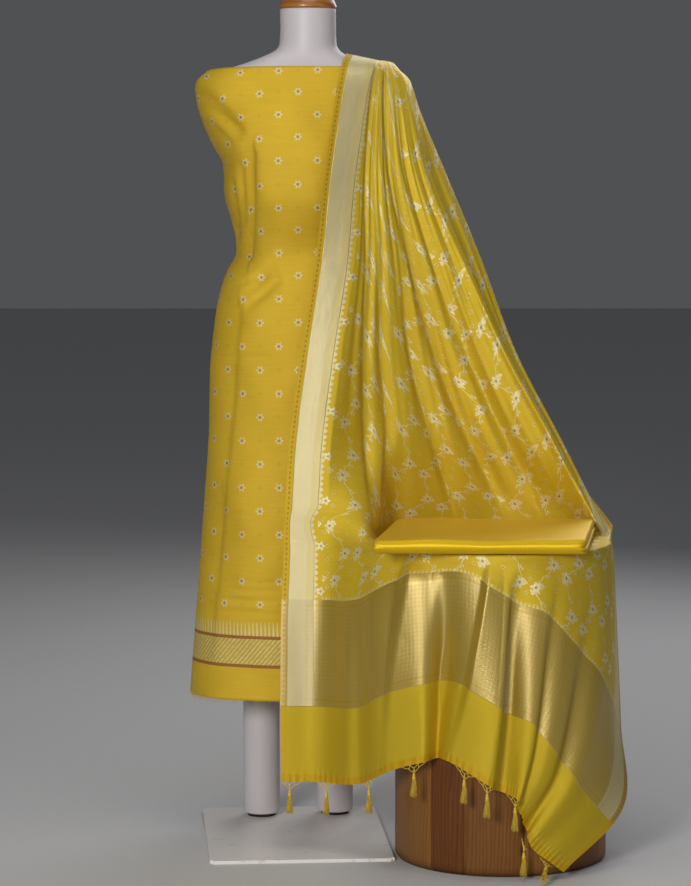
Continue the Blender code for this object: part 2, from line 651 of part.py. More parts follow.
def fold_depth(shares, stages, plain):
    """How far the cloth is moved out of its plain course by its folds, rows by columns."""
    s = shares[None, :]
    depth = np.zeros((len(stages), len(shares)))
    drop = 1.0 - np.clip(stages[:, None], 0.0, 1.0)
    for top_share, low_share, half, size in HANG_VALLEYS:
        centre = top_share + (low_share - top_share) * drop
        depth -= size * valley(s, centre, half, HANG_SHARPNESS) * smooth_step(drop / HANG_VALLEY_START)
    climb = stages[:, None] - 2.0
    rise = np.clip(climb, 0.0, 1.0)
    width = np.linalg.norm(np.diff(plain, axis=1), axis=2).sum(axis=1)[:, None]
    on_fan = smooth_step((climb - 0.02) / 0.12) * smooth_step((1.0 - climb) / 0.16)
    for top_share, low_share, half, size, reach in FAN_VALLEYS:
        centre = low_share + (top_share - low_share) * rise**FAN_VALLEY_BEND
        fade = smooth_step((reach - climb) / 0.25 + 0.5)
        shape = valley(s, centre, half / width, FAN_SHARPNESS)
        depth -= size * shape * on_fan * fade * (1.0 - FAN_VALLEY_THINNING * rise)
    fall = smooth_step((climb - 1.08) / 0.40)
    turn = 2 * math.pi * BACK_FOLDS * (s - BORDER_SHARE) / (1 - BORDER_SHARE)
    folds = np.cos(turn + 0.3 * np.sin(3.1 * climb + 4.0 * s)) * smooth_step((s - BORDER_SHARE) / 0.08)
    folds *= smooth_step((1.03 - s) / 0.08)
    depth += BACK_FOLD_DEPTH * folds * fall * (0.75 + 0.25 * np.sin(9.0 * s + 1.0))
    return depth


def dupatta_grid(shares, stages, seams=()):
    plain = along_warps(shares, stages)
    folded = plain + grid_normals(plain, seams) * fold_depth(shares, stages, plain)[:, :, None]
    return rest_on_drum(folded)


def build_dupatta(material):
    """The three stretches are parted along the weft but share one surface."""
    hang = np.linspace(0.0, 1.0, HANG_ROWS + 1)
    top = np.linspace(1.0, 2.0 - SEAM_STAGE, TOP_ROWS + 1)[1:]
    fan = 3.0 - SEAM_STAGE - (1.0 - SEAM_STAGE) * np.linspace(1.0, 0.0, FAN_ROWS + 1) ** SHOULDER_CROWDING
    back = 3.0 + np.linspace(0.0, 1.0, BACK_ROWS + 1) ** SHOULDER_CROWDING
    stages = np.concatenate([hang, top, fan, back])
    fan_start = len(hang) + len(top)
    back_start = fan_start + len(fan)
    seams = (fan_start, back_start)
    points = dupatta_grid(np.linspace(0.0, 1.0, DUPATTA_COLUMNS + 1), stages, seams)
    normals = grid_normals(points, seams)
    for name, first, last in (
        ("dupatta_front_hang", 0, fan_start),
        ("dupatta_fan", fan_start, back_start),
        ("dupatta_back_fall", back_start, len(stages)),
    ):
        add_object(name, wall_from_grid(points[first:last], normals[first:last], DUPATTA_WALL), material)


# ---------------------------------------------------------------- salwar
def salwar_ring(inset_smooth, inset_layered, height):
    """Outline of the folded cloth at one level; the right edge shows its layers."""
    corners = [np.array(p) for p in SALWAR_CORNERS]
    ring = []
    for i in range(4):
        a, b = corners[i], corners[(i + 1) % 4]
        run = (b - a) / np.linalg.norm(b - a)
        out = np.array((run[1], -run[0]))
        length = np.linalg.norm(b - a)
        layered = i == 1
        for k in range(SALWAR_SIDE_POINTS):
            share = k / (SALWAR_SIDE_POINTS - 1)
            along = SALWAR_CORNER_RADIUS + (length - 2 * SALWAR_CORNER_RADIUS) * share
            inset = inset_layered if layered else inset_smooth
            p = a + run * along - out * inset
            ring.append((*p, height))
    return ring


def build_salwar(material):
    rings = []
    for share, smooth_inset, layered_inset in SALWAR_LEVELS:
        rings.append(salwar_ring(smooth_inset, layered_inset, SALWAR_BASE + share * SALWAR_TOP))
    add_object("salwar_folded", loft(rings), material)


# ---------------------------------------------------------------- tassels
def net_body(ends, knots, low):
    """Flat net of cords: the faces between its knots, cut open and given a thickness."""
    bm = bmesh.new()
    top = [bm.verts.new(p) for p in ends]
    middle = [bm.verts.new(p) for p in knots]
    foot = bm.verts.new(low)
    for i in range(2):
        bm.faces.new((top[i], top[i + 1], middle[i]))
    bm.faces.new((middle[0], top[1], middle[1], foot))
    bmesh.ops.recalc_face_normals(bm, faces=bm.faces)
    facing = bm.faces[0].normal.copy()
    open_faces = list(bm.faces)
    bmesh.ops.inset_individual(bm, faces=open_faces, thickness=TASSEL_CORD_RADIUS)
    bmesh.ops.delete(bm, geom=open_faces, context="FACES_ONLY")
    bmesh.ops.delete(bm, geom=[e for e in bm.edges if not e.link_faces], context="EDGES")
    back = bmesh.ops.duplicate(bm, geom=list(bm.faces))
    copies = [g for g in back["geom"] if isinstance(g, bmesh.types.BMFace)]
    rims = [(e, back["vert_map"][e.verts[0]], back["vert_map"][e.verts[1]]) for e in bm.edges
            if e.is_boundary and e.verts[0] in back["vert_map"] and e.verts[0] not in
            {v for f in copies for v in f.verts}]
    for edge, a, b in rims:
        bm.faces.new((edge.verts[0], edge.verts[1], b, a))
    for v in {v for f in copies for v in f.verts}:
        v.co += facing * TASSEL_CORD_RADIUS * 2
    return bm


def tassel_body(head, heading, length):
    """Head with its strands as one closed solid, hanging along heading from the point head."""
    bm = bmesh.new()
    turn = Vector(heading).to_track_quat("Z", "Y")
    head = Vector(head)

    def ring(radius, below, offset=0.0):
        points = []
        for i in range(TASSEL_STRANDS):
            a = 2 * math.pi * (i + offset) / TASSEL_STRANDS
            offset_point = Vector((radius * math.cos(a), radius * math.sin(a), below))
            points.append(bm.verts.new(head + turn @ offset_point))
        return points

    loops = [ring(radius, below) for radius, below in TASSEL_HEAD]
    core = ring(TASSEL_HEAD[-1][0] * TASSEL_CORE_SHARE, TASSEL_HEAD[-1][1], 0.5)
    bm.faces.new(loops[0])
    for upper, lower in zip(loops, loops[1:]):
        for i in range(TASSEL_STRANDS):
            j = (i + 1) % TASSEL_STRANDS
            bm.faces.new((upper[i], lower[i], lower[j], upper[j]))
    roots = []
    for i in range(TASSEL_STRANDS):
        j = (i + 1) % TASSEL_STRANDS
        roots.append((loops[-1][i], loops[-1][j], core[i]))
        bm.faces.new((loops[-1][j], core[j], core[i]))
    bm.faces.new(core)
    axis = turn @ Vector((0.0, 0.0, 1.0))
    for k, root in enumerate(roots):
        reach = length * (0.90 + 0.10 * math.sin(2.4 * k + 1.0))
        tips = []
        middle = sum((v.co for v in root), Vector()) / 3
        base = head + axis * TASSEL_HEAD[-1][1]
        outward = (middle - base) * TASSEL_SPREAD
        for v in root:
            tips.append(bm.verts.new(base + outward + (v.co - middle) * TASSEL_TIP_TAPER + axis * reach))
        for i in range(3):
            j = (i + 1) % 3
            bm.faces.new((root[i], root[j], tips[j], tips[i]))
        bm.faces.new(tips)
    return bm


def union(name, body, other, material):
    """Boolean union of two closed bodies into one object."""
    main = add_object(name, body, material)
    cutter = add_object(f"{name}_net", other, material)
    cutter.hide_render = True
    cutter.display_type = "WIRE"
    joiner = main.modifiers.new("join", "BOOLEAN")
    joiner.operation = "UNION"
    joiner.solver = "EXACT"
    joiner.object = cutter


def build_tassel(name, shares, hem, row, net_slope, material):
    """Net of cords below the hem, knotted into one head with its strands."""
    share, half, shift = row
    width = np.concatenate([[0.0], np.cumsum(np.linalg.norm(np.diff(hem, axis=0), axis=1))])
    here = float(np.interp(share, shares, width))

    def on_hem(offset):
        at = min(max(here + offset, 0.0), width[-1])
        return Vector([np.interp(at, width, hem[:, i]) for i in range(3)])

    course = on_hem(half) - on_hem(-half)
    course.z *= net_slope
    course.normalize()
    middle = on_hem(0.0) + Vector((shift, 0.0, 0.0))
    offsets = [k * half for k in (-1.0, 0.0, 1.0)]
    sink = max(max(middle.z + course.z * k - on_hem(k).z for k in offsets), 0.0) if not shift else 0.0
    middle.z -= sink + NET_GAP
    need = TASSEL_NET_DROP + TASSEL_HEAD[-1][1] + TASSEL_STRAND_LENGTH
    heading = Vector((0.0, 0.0, -1.0))
    if middle.z < need + TASSEL_FLOOR_CLEAR:
        fall = max(middle.z - TASSEL_FLOOR_REST, 0.0) / need
        heading = Vector((-0.18, -1.0, -fall)).normalized()
    low = middle + heading * TASSEL_NET_DROP
    ends = [middle + course * k for k in offsets]
    knots = [(a + b) / 2 + heading * TASSEL_NET_DROP * NET_KNOT_SHARE for a, b in zip(ends, ends[1:])]
    body = tassel_body(low, heading, TASSEL_STRAND_LENGTH)
    union(name, body, net_body(ends, knots, low + heading * NET_INTO_HEAD), material)


def build_tassels(material):
    shares = np.linspace(0.0, 1.0, DUPATTA_COLUMNS + 1)
    front = dupatta_grid(shares, np.linspace(0.0, HEM_STAGE, 4))[0]
    back = dupatta_grid(shares, np.linspace(4.0 - HEM_STAGE, 4.0, 4))[-1]
    for i, row in enumerate(TASSELS_FRONT):
        build_tassel(f"tassel_front_{i + 1}", shares, front, row, NET_SLOPE_FRONT, material)
    for i, row in enumerate(TASSELS_BACK):
        build_tassel(f"tassel_back_{i + 1}", shares, back, row, NET_SLOPE_BACK, material)


def main():
    clear_scene()
    white = make_material("form_white", FORM_WHITE, 0.45)
    cap = make_material("cap_wood", CAP_BROWN, 0.4)
    build_form(white, cap, make_material("plate_white", FORM_WHITE, 0.5))
    build_drum(make_material("drum_wood", DRUM_BROWN, 0.5))
    build_kameez(make_material("kameez_cloth", YELLOW, 0.5))
    gold = make_material("dupatta_cloth", DUPATTA_GOLD, 0.45)
    build_dupatta(gold)
    build_salwar(make_material("salwar_cloth", YELLOW_DEEP, 0.5))
    build_tassels(make_material("tassel_thread", YELLOW, 0.6))


main()
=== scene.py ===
"""Looks of the salwar kameez suit on its dress form and wooden drum.

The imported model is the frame. The cloth is shaped by the same tables as the solids, on a finer grid, with the
small folds, hems, woven patterns and loose threads that the solids leave out. Metres, +Z up, wearer faces -Y.
"""

import math

import bmesh
import bpy
import numpy as np
from mathutils import Matrix, Vector


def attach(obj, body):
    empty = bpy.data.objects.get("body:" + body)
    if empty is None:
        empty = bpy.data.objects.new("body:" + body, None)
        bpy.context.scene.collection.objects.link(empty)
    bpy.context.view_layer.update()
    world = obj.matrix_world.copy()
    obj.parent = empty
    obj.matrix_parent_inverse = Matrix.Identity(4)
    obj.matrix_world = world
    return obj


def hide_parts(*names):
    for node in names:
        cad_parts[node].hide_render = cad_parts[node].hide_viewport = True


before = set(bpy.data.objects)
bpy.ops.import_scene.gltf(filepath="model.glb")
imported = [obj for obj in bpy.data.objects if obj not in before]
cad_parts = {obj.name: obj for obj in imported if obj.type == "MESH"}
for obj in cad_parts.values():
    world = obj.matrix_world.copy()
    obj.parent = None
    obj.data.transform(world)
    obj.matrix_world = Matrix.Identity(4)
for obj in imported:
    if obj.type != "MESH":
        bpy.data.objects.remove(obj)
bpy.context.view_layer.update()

SEED = 7
ROOT = "root"
HIP_JOIN = .0004  # half the gap between front and back panel at the sides

# ---- dress form
PLATE_SIZE = (.325, .44, .006)
PLATE_CENTRE = (-.0135, -.093)
PLATE_TURN = math.radians(4.3)
PLATE_CORNER = .006
PLATE_RIM = .0009
POST_RADIUS = .034
POST_TOP = .8185
POSTS = {"form_post_left": (-.079, .058), "form_post_right": (.058, .075)}
POST_FOOT_RADIUS = .026
BOOT_HEIGHT = .006
POST_COLUMNS = 64
TORSO_POWER = 2.3
FORM_COLUMNS = 96
FORM_ROWS = 160
NECK_WIDTH = .075  # half width below which the sections turn round
NECK_BLEND = .02  # over which they do
# height, half width, front depth, back depth, axis x
TORSO_SECTIONS = (
    (.819, .118, .078, .1, 0), (.828, .142, .094, .11, 0), (.87, .158, .106, .114, 0),
    (.95, .15, .103, .102, 0), (1.02, .118, .09, .088, 0), (1.06, .107, .08, .068, 0),
    (1.12, .115, .098, .072, 0), (1.18, .127, .116, .078, 0), (1.23, .139, .126, .091, 0),
    (1.29, .166, .108, .092, 0), (1.34, .182, .088, .086, 0), (1.368, .174, .072, .076, .001),
    (1.388, .148, .062, .068, .002), (1.402, .108, .057, .062, .004), (1.414, .078, .054, .058, .006),
    (1.426, .0575, .053, .055, .009), (1.44, .0515, .052, .052, .01), (1.4995, .0505, .0505, .0505, .01),
)
CAP_AXIS_X = .01
CAP_BASE = 1.4998
CAP_ROWS = 40
# radius, height above the neck's top
CAP_PROFILE = (
    (.05, 0), (.0515, .003), (.05, .01), (.042, .022), (.027, .032), (.012, .037),
)

# ---- wooden drum
DRUM_CENTRE = (.353, -.233)
DRUM_RADIUS = .187
DRUM_HEIGHT = .555
# angle of each joint between two planks, in degrees, 0 at +X and 270 at the front
DRUM_JOINTS = (8, 36, 63, 92, 121, 148, 170, 190, 227, 247.5, 280, 308, 332)

# ---- kameez
KAMEEZ_POWER = 2.25
# height, half width, front depth, back depth
KAMEEZ_SECTIONS = (
    (.253, .209, .128, .128), (.33, .203, .126, .126), (.42, .1955, .124, .124), (.52, .188, .122, .122),
    (.62, .1805, .121, .122), (.72, .173, .12, .123), (.8, .171, .12, .124), (.87, .168, .12, .124),
    (.946, .159, .117, .115), (.998, .148, .11, .104), (1.028, .137, .102, .096), (1.055, .1225, .096, .086),
    (1.085, .1225, .102, .084), (1.12, .13, .115, .088), (1.16, .1415, .129, .093), (1.223, .146, .135, .098),
    (1.256, .164, .13, .101), (1.307, .1855, .114, .1), (1.34, .1935, .101, .096), (1.366, .1925, .088, .09),
    (1.383, .174, .078, .082),
)
KAMEEZ_TOP_RISE = {-1: .012, 1: -.01}  # top edge at the chest and at the back, above the shoulders
KAMEEZ_TOP_FROM = 1.307
KAMEEZ_PRESS = (.1, .04, .007)  # under the dupatta: from x, over this width, lowered by
# lines pressed into the panels, first the broad folds, then the small creases: side (-1 front, 1 back), x and
# height at both ends, half width on the left and right of the line, depth; a line runs downwards, so that its
# right is +X on the front
KAMEEZ_FOLDS = (
    (-1, -.092, 1.235, -.098, 1.06, .013, .013, .007), (-1, -.182, 1.345, -.118, 1.285, .014, .014, .008),
    (-1, -.1, .99, -.055, 1.03, .012, .012, .004), (-1, .096, 1.23, .1, 1.045, .014, .014, .006),
    (-1, -.12, .93, -.15, .42, .03, .03, .004), (-1, .11, .93, .145, .4, .03, .03, .005),
    (1, -.085, 1.19, -.08, .99, .014, .014, .007), (1, .08, 1.2, .084, .985, .014, .014, .007),
    (1, 0, 1.08, .012, .7, .014, .014, .006), (1, -.105, .9, -.13, .42, .03, .03, .006),
    (1, .08, .88, .105, .4, .032, .032, .006), (-1, -.182, 1.326, -.112, 1.284, .014, .005, .0044),
    (-1, -.176, 1.3, -.128, 1.262, .01, .004, .003), (-1, .15, 1.35, .15, 1.3, .03, .03, .0014),
    (-1, -.085, 1.336, .05, 1.34, .004, .004, .0016), (-1, -.085, 1.238, -.098, 1.05, .022, .004, .007),
    (-1, -.108, 1.215, -.112, 1.11, .007, .004, .005), (-1, -.124, 1.19, -.12, 1.09, .006, .004, .0045),
    (-1, -.048, 1.01, -.098, .97, .005, .01, .0045), (-1, -.128, 1, -.07, 1.022, .006, .006, .003),
    (-1, -.15, .873, -.06, .876, .004, .004, .0018), (-1, -.118, .96, -.152, .56, .03, .008, .004),
    (-1, -.15, .62, -.172, .33, .022, .008, .004), (-1, -.19, .47, -.02, .468, .004, .004, .0014),
    (-1, -.185, .455, -.02, .452, .004, .004, .0018), (-1, -.19, .436, -.02, .434, .004, .004, .0018),
    (-1, -.185, .415, -.02, .412, .004, .004, .0014), (1, -.15, .873, .15, .876, .004, .004, .0016),
    (1, -.11, 1.02, -.05, .985, .007, .007, .003), (1, .11, 1.02, .05, .985, .007, .007, .003),
    (1, -.19, .455, .19, .452, .004, .004, .0014),
)

# ---- dupatta
DUPATTA_LENGTH = 2.4
BORDER_SHARE = .1  # of the width, kept flat
BORDER_PROUD = .006  # the border's inner side stands this far in front of the fan
WARP_SAMPLES = 800
CLOTH_REST = .0026  # middle of the cloth above what it lies on
LIP_HEIGHT = DRUM_HEIGHT + CLOTH_REST
LIP_RISE = .0012
UNDER_LIP = (.003, .016)  # the next guide row lies this much further out and lower
FREE_SHARES = (.19, .3)  # the cloth hangs clear of the drum up to here, and lies on it from here
INSIDE_RUN = .022  # the guide rows on the drum's top start this far from its edges
INSIDE_SHARE = .45  # or at this share of the run, where the top is narrow
MIDDLE_SHARE = .65  # of the way to the back, the guide row in the middle
REAR_SHARE = .6  # of the inside run, the distance of the last guide row from the back
TOP_RISES = (.1, .5, .85)  # share of the rise to the back that these three rows have
# share of the width; x, y, z at the hem, at the top of the end stripe and at the top of the pallu band; x, y and
# height above the drum's lip, at the lip and at the back of the drum top
DRAPE_LINES = (
    (0, -.036, -.24, .131, -.037, -.24, .262, -.035, -.237, .44, -.031, -.23, 0, -.028, -.222, .065),
    (.1, .038, -.252, .131, .038, -.25, .263, .04, -.245, .441, .043, -.238, 0, .047, -.226, .065),
    (.19, .092, -.31, .139, .089, -.31, .271, .09, -.3, .45, .098, -.28, 0, .112, -.218, .05),
    (.25, .125, -.358, .16, .12, -.356, .289, .122, -.344, .463, .132, -.32, 0, .134, -.19, .004),
    (.3, .164, -.386, .182, .159, -.382, .312, .16, -.366, .486, .17, -.346, 0, .158, -.09, 0),
    (.34, .204, -.41, .197, .202, -.404, .333, .206, -.39, .503, .208, -.37, 0, .214, -.066, 0),
    (.43, .25, -.428, .205, .272, -.424, .34, .283, -.422, .508, .281, -.414, 0, .3, -.044, 0),
    (.52, .318, -.47, .172, .335, -.462, .315, .345, -.444, .5, .345, -.43, 0, .375, -.04, 0),
    (.6, .348, -.44, .152, .362, -.438, .29, .375, -.436, .478, .392, -.426, 0, .432, -.052, 0),
    (.68, .374, -.462, .14, .395, -.455, .242, .418, -.44, .44, .434, -.411, 0, .5, -.08, 0),
    (.76, .38, -.438, .102, .428, -.438, .198, .462, -.418, .39, .478, -.384, 0, .535, -.132, 0),
    (.815, .388, -.444, .078, .459, -.426, .174, .5, -.388, .352, .52, -.332, 0, .543, -.134, 0),
    (.87, .398, -.446, .056, .488, -.405, .15, .532, -.342, .315, .543, -.266, -.002, .55, -.132, .002),
    (1, .451, -.43, .012, .562, -.33, .106, .564, -.232, .232, .556, -.16, -.03, .558, -.116, .016),
)
# cross-sections of the fan: height of the left selvedge and of the right one, then x and y of the left
# selvedge, the fold edge, the outer layer and the tucked right selvedge, the width that the flat border
# keeps, and how far the middle bows back
FAN_SECTIONS = (
    (.725, .725, -.022, -.206, .45, -.112, .466, -.082, .444, -.048, .076, .07),
    (.88, .88, -.002, -.193, .365, -.104, .385, -.07, .362, -.034, .075, .045),
    (1.05, 1.05, .025, -.18, .288, -.09, .322, -.05, .296, -.006, .073, .015),
    (1.2, 1.2, .041, -.166, .226, -.072, .262, -.028, .244, .014, .071, 0),
    (1.32, 1.316, .058, -.128, .197, -.058, .213, -.02, .211, .014, .067, 0),
    (1.393, 1.366, .07, -.096, .183, -.048, .195, -.018, .197, .008, .064, 0),
)
# top of the shoulder under the dupatta: height at the axis, slope, x of its end, added slope past that, rounding
SHOULDER = (1.438, .21, .165, .9, .08)
# share, x, y of the line on which the cloth crosses the shoulder
SHOULDER_LINE = (
    (0, .079, -.022), (.1, .139, -.018), (.75, .173, .008), (.88, .18, .016), (1, .187, .026),
)
# how far back the cloth stays on the shoulder, at the left selvedge and how much more at the right one
SHOULDER_DEPTH = (.056, -.036)
# the back fall: height of the left selvedge and of the right one, then x and y of the left selvedge, the
# end of the flat border and the right selvedge
BACK_SECTIONS = (
    (1.399, 1.325, .079, .078, .134, .082, .193, .092), (1.33, 1.28, .076, .108, .133, .108, .198, .104),
    (1.2, 1.16, .068, .124, .126, .124, .21, .118), (.95, .93, .042, .144, .104, .144, .228, .136),
    (.6, .6, .012, .156, .08, .156, .246, .146), (.2, .2, -.002, .16, .07, .16, .256, .15),
)
EDGE_SHARE = .75
OUTER_SHARE = .88
# valleys of the fan: share of the width at the shoulder and at the drum, half width and depth in metres,
# and the share of the way up at which they have half faded out
FAN_VALLEYS = (
    (.135, .215, .015, .013, .92), (.225, .275, .013, .01, .5), (.27, .415, .015, .012, .44),
    (.33, .525, .017, .018, 1.2), (.5, .625, .016, .012, .86),
)
# valleys of the front hang: share of the width at the lip and at the hem, half width as a share too, and
# the depth at the hem in metres
HANG_VALLEYS = (
    (.215, .2, .03, .012), (.385, .38, .022, .034), (.57, .57, .02, .02), (.7, .71, .016, .012),
    (.8, .79, .02, .014),
)
FAN_SHARPNESS = .6  # width of a valley's left side, as a share of its half width
HANG_SHARPNESS = .75
VALLEY_EASE = 1.3  # and of its right side
FAN_VALLEY_BEND = 1.35  # how late a valley's line turns towards its place at the shoulder
FAN_VALLEY_THINNING = .72  # how much shallower the valleys are at the shoulder
# shares of the way from the drum to the shoulder: start of the fan's folds, over which they grow, over which
# they fade out below the shoulder, over which a single valley fades
FAN_FADES = (.02, .12, .16, .25)
HANG_VALLEY_START = .7  # share of the hang over which its valleys deepen
BACK_FOLDS = 6
BACK_FOLD_DEPTH = .011
BACK_FOLD_START = 1.08  # share of the climb, past the shoulder
BACK_FOLD_GROW = .4
BACK_FOLD_EDGE = .08

# ---- salwar cloth, folded
SALWAR_TOP = .0265
SALWAR_BASE = LIP_HEIGHT + .003
# x, y of the corners, front left first, anticlockwise from above
SALWAR_CORNERS = ((.121, -.432), (.488, -.442), (.528, -.124), (.168, -.106))
SALWAR_CORNER_RADIUS = .014

# ---- tassels
# share of the hem, half width of the net, shift in x
TASSELS_FRONT = (
    (.02, .012, 0), (.11, .0115, 0), (.228, .012, 0), (.33, .0125, 0), (.47, .011, 0), (.52, .011, 0),
    (.65, .0125, 0), (.845, .006, -.01), (.94, .008, -.004),
)
TASSELS_BACK = tuple((.03 + .155 * i, .0085, 0.0) for i in range(7))
TASSEL_FLOOR_REST = .0075
TASSEL_LYING = (-.18, -1.0)  # heading in x and y of a tassel that lies on the floor
TASSEL_NET_DROP = .016
TASSEL_HEAD_DROP = .011
TASSEL_STRAND_LENGTH = .032
TASSEL_FLOOR_CLEAR = .0012

# ---- finer form of the cloth
KAMEEZ_SHELL = .0012
# panel, side, columns, rows
KAMEEZ_PANELS = (("kameez_front", -1, 141, 260), ("kameez_back", 1, 101, 180))
SIDE_FADE = .25  # sine of the turn from the side join within which folds die away
CRUMPLE_LENGTHS = (.21, .12, .065)
KAMEEZ_CRUMPLE = .0022
HEM_THREADS = 420
HEM_THREAD_LENGTH = .01
HEM_THREAD_RADIUS = .00022
HEM_THREAD_LEAN = .35
HEM_THREAD_RISE = .0008  # how far above the hem a thread starts

DUPATTA_WIDTH = .9
DRAPE_COLUMNS = 260
# of the width hidden in the fan's folds, the part in each of its valleys and in the tuck at its right
FAN_HIDDEN = (.2, .1, .15, .3, .1)
TUCK_HIDDEN = .15
TUCK_SHARE = .93
HIDDEN_RUN = .004  # metres over which a fold swallows its cloth
BACK_HIDDEN_RUN = .16  # and as a share of one fold of the back fall
DRAPE_ROWS = (130, 46, 170, 84)  # of each stage
# number of small folds across the width, size, sideways turn up the cloth, phase
FAN_RIPPLES = ((9, .0014, .6, .3), (17, .0008, -.8, 1.9), (31, .0004, .5, .7))
HANG_RIPPLES = ((5, .0016, .25, .9), (11, .0009, -.35, 2.2))
# broad faces of the hang's folds: share of the width at the left side, at the lip and at the hem, share at the
# right end, how far the left side stands proud in metres
HANG_FACES = ((.332, .285, .358, .013), (.492, .44, .522, .013))
FACE_STEP = .022  # width of a face's steep left side, as a share
HEM_PUCKERS = 64
HEM_PUCKER_DEPTH = .0009

# share of the way from the middle, at the hem
NET_ENDS = (-1.0, -.35, .35, 1.0)
NET_SPREAD = 1.9
# how far each row of knots sinks towards the tassel's head
NET_SINKS = (.36, .62)
NET_SAGS = (.0008, .0016)
NET_LAST_SAG = .0006
NET_CORD_RADIUS = .0006
NET_KNOT_RADII = (.0004, .0011, .0013, .0011, .0004)
NET_KNOT_DROPS = (-.0012, -.0007, 0, .0007, .0012)
# radius, drop below the head's top: knot, neck, bound collar, skirt
TASSEL_HEAD_FORM = (
    (.0006, -.0008), (.002, .0004), (.0027, .0022), (.0021, .004), (.0019, .0046), (.0031, .0056),
    (.0033, .0072), (.0031, .0086), (.0024, .0094), (.0036, .011),
)
TASSEL_THREADS = 46
GOLDEN_ANGLE = 2.39996
TASSEL_ROOT_RADIUS = .003
TASSEL_TIP_RADIUS = .0068
TASSEL_THREAD_RADIUS = .00032
TASSEL_WANDER = .0006

STACK_SIDE_POINTS = 34
STACK_CORNER_GROWTH = .6  # how much rounder the corners get as the edge stands back
STACK_CORNER_POINTS = 8
STACK_LEVELS = 34
STACK_LAYERS = 4
STACK_LAYER_DEPTH = .0045
STACK_LAYER_SHIFT = .0035
STACK_ROLL = .0125
STACK_SLACK = .0022
STACK_CRUMPLE = .0022
STACK_UNDER_RINGS = (.02, .4, .8, .9, .955, .985)
STACK_UNDER_RISE = .0095
STACK_TOP_RINGS = (.985, .965, .94, .91, .87, .82, .76, .69, .61, .52, .42, .31, .2, .1, .02)

# ---- drum
# height, inset: foot, wall, rounded rim, recessed top
DRUM_RINGS = (
    (0, .004), (.0035, .004), (.0042, .0012), (.006, .0004), (.008, 0), (.14, 0), (.28, 0), (.42, 0), (.548, 0),
    (.5515, .0007), (.554, .0022), (.555, .0045), (.555, .028), (.5545, .029),
)
PLANK_POINTS = 14
PLANK_EDGE = .0012  # rounding at a plank's long edges
KNOT_PITCH = (.31, .36)
KNOT_START = (-.02, .045)
KNOT_SIZE = .012
KNOT_SLIM = 3.0
FOOT_SHADE_HEIGHT = .012  # height of the painted shade at the drum's foot, drawn darker towards the bottom
# share of tan in each plank, the rest reddish brown
DRUM_TONES = (.9, .15, .8, .35, 1, .1, .7, .75, .05, .45, .95, .3, .85)

# ---- pattern sizes, metres on the flat cloth
# blur of a pattern's edges
CRISP_EDGE = .0008
SOFT_EDGE = .001
BORDER_EDGE = .0012
# weft streaks in a metre
KAMEEZ_STREAKS = 420.0
DUPATTA_STREAKS = 520.0
BUTI_PITCH = (.07, .085)
BUTI_START = (-.0766, .006)
BUTI_RADIUS = .0078
BUTI_HEART = .0026
NO_HEART = .0001
# top of the plain hem, top of the band, height of the brown lines, top of the comb teeth
KAMEEZ_BORDER = (.066, .1125, .006, .143)
BAND_STRIPE_PITCH = .0085
TOOTH_PITCH = .0075
LINE_KNOT_PITCH = .0045
JAAL_PITCH = (.056, .096)
JAAL_SWAY = .012
JAAL_FLOWER = .011
JAAL_HEART = .0021
JAAL_LEAF_OUT = .01
VINE_WIDTH = .002
# from the selvedge: end of the yellow strip, of the silver and of the lace
BORDER_LINES = (.012, .058, .07)
PALLU_LINES = (.135, .325)  # from the end: top of the stripe, top of the band
BAND_CUTS = ((.145, .149), (.313, .317))  # darker lines in the band
BORDER_GRID_FROM = .044  # from the selvedge, inner part of the silver with a fine grid in it
LACE_PITCH = .0105
CORNER_PITCH = .08
CORNER_RADIUS = .0082
CORNER_START = .02
DASH_PITCH = .009
DASH_SPAN = (.004, .0072)  # from the selvedge
BAND_DOT = .0072
GRID_PITCH = .0042
HEM_STRIP = .013
COMB_PITCH = .0075
COMB_TOOTH = (.0026, .006)  # half width at its foot, height
WEAVE_PITCH = .0009
WEAVE_HEIGHT = WEAVE_PITCH * .07
# linear colours; two tones are deep and light
KAMEEZ_LIGHT = (.73, .495, .04)
KAMEEZ_DEEP = (.63, .395, .014)
KAMEEZ_GHOST = (.42, .29, .022)
KAMEEZ_BAND = (.42, .33, .06)
LINE_BROWN = (.26, .085, .02)
LINE_COPPER = (.55, .22, .08)
DUPATTA_LIGHT = (.74, .53, .045)
DUPATTA_DEEP = (.62, .42, .012)
STRIPE_YELLOW = (.52, .37, .013)
HEM_YELLOW = (.6, .35, .006)
BAND_GROUND = (.36, .22, .007)
BAND_THREAD = (.42, .29, .04)
BUTI_SILVER = (.74, .66, .4)
ZARI = (.7, .6, .3)
SILVER = (.8, .72, .42)
HEART_GREY = (.115, .085, .075)
DASH_PINK = (.2, .06, .06)
SALWAR_TONES = ((.7, .44, .004), (.8, .53, .012))
TASSEL_LIGHT = (.8, .6, .1)
TASSEL_DEEP = (.64, .4, .015)
FORM_LIGHT = (.62, .58, .6)
FORM_SHADE = (.56, .52, .545)
PLATE_LIGHT = (.84, .81, .79)
PLATE_SCUFF = (.42, .4, .4)
CAP_TONES = ((.22, .07, .012), (.4, .16, .03))
TAN_TONES = ((.15, .058, .01), (.34, .155, .036))
RED_TONES = ((.065, .018, .004), (.17, .052, .012))
WOOD_DARK = (.028, .012, .006)
RUBBER_TONES = ((.01, .01, .011), (.022, .021, .021))
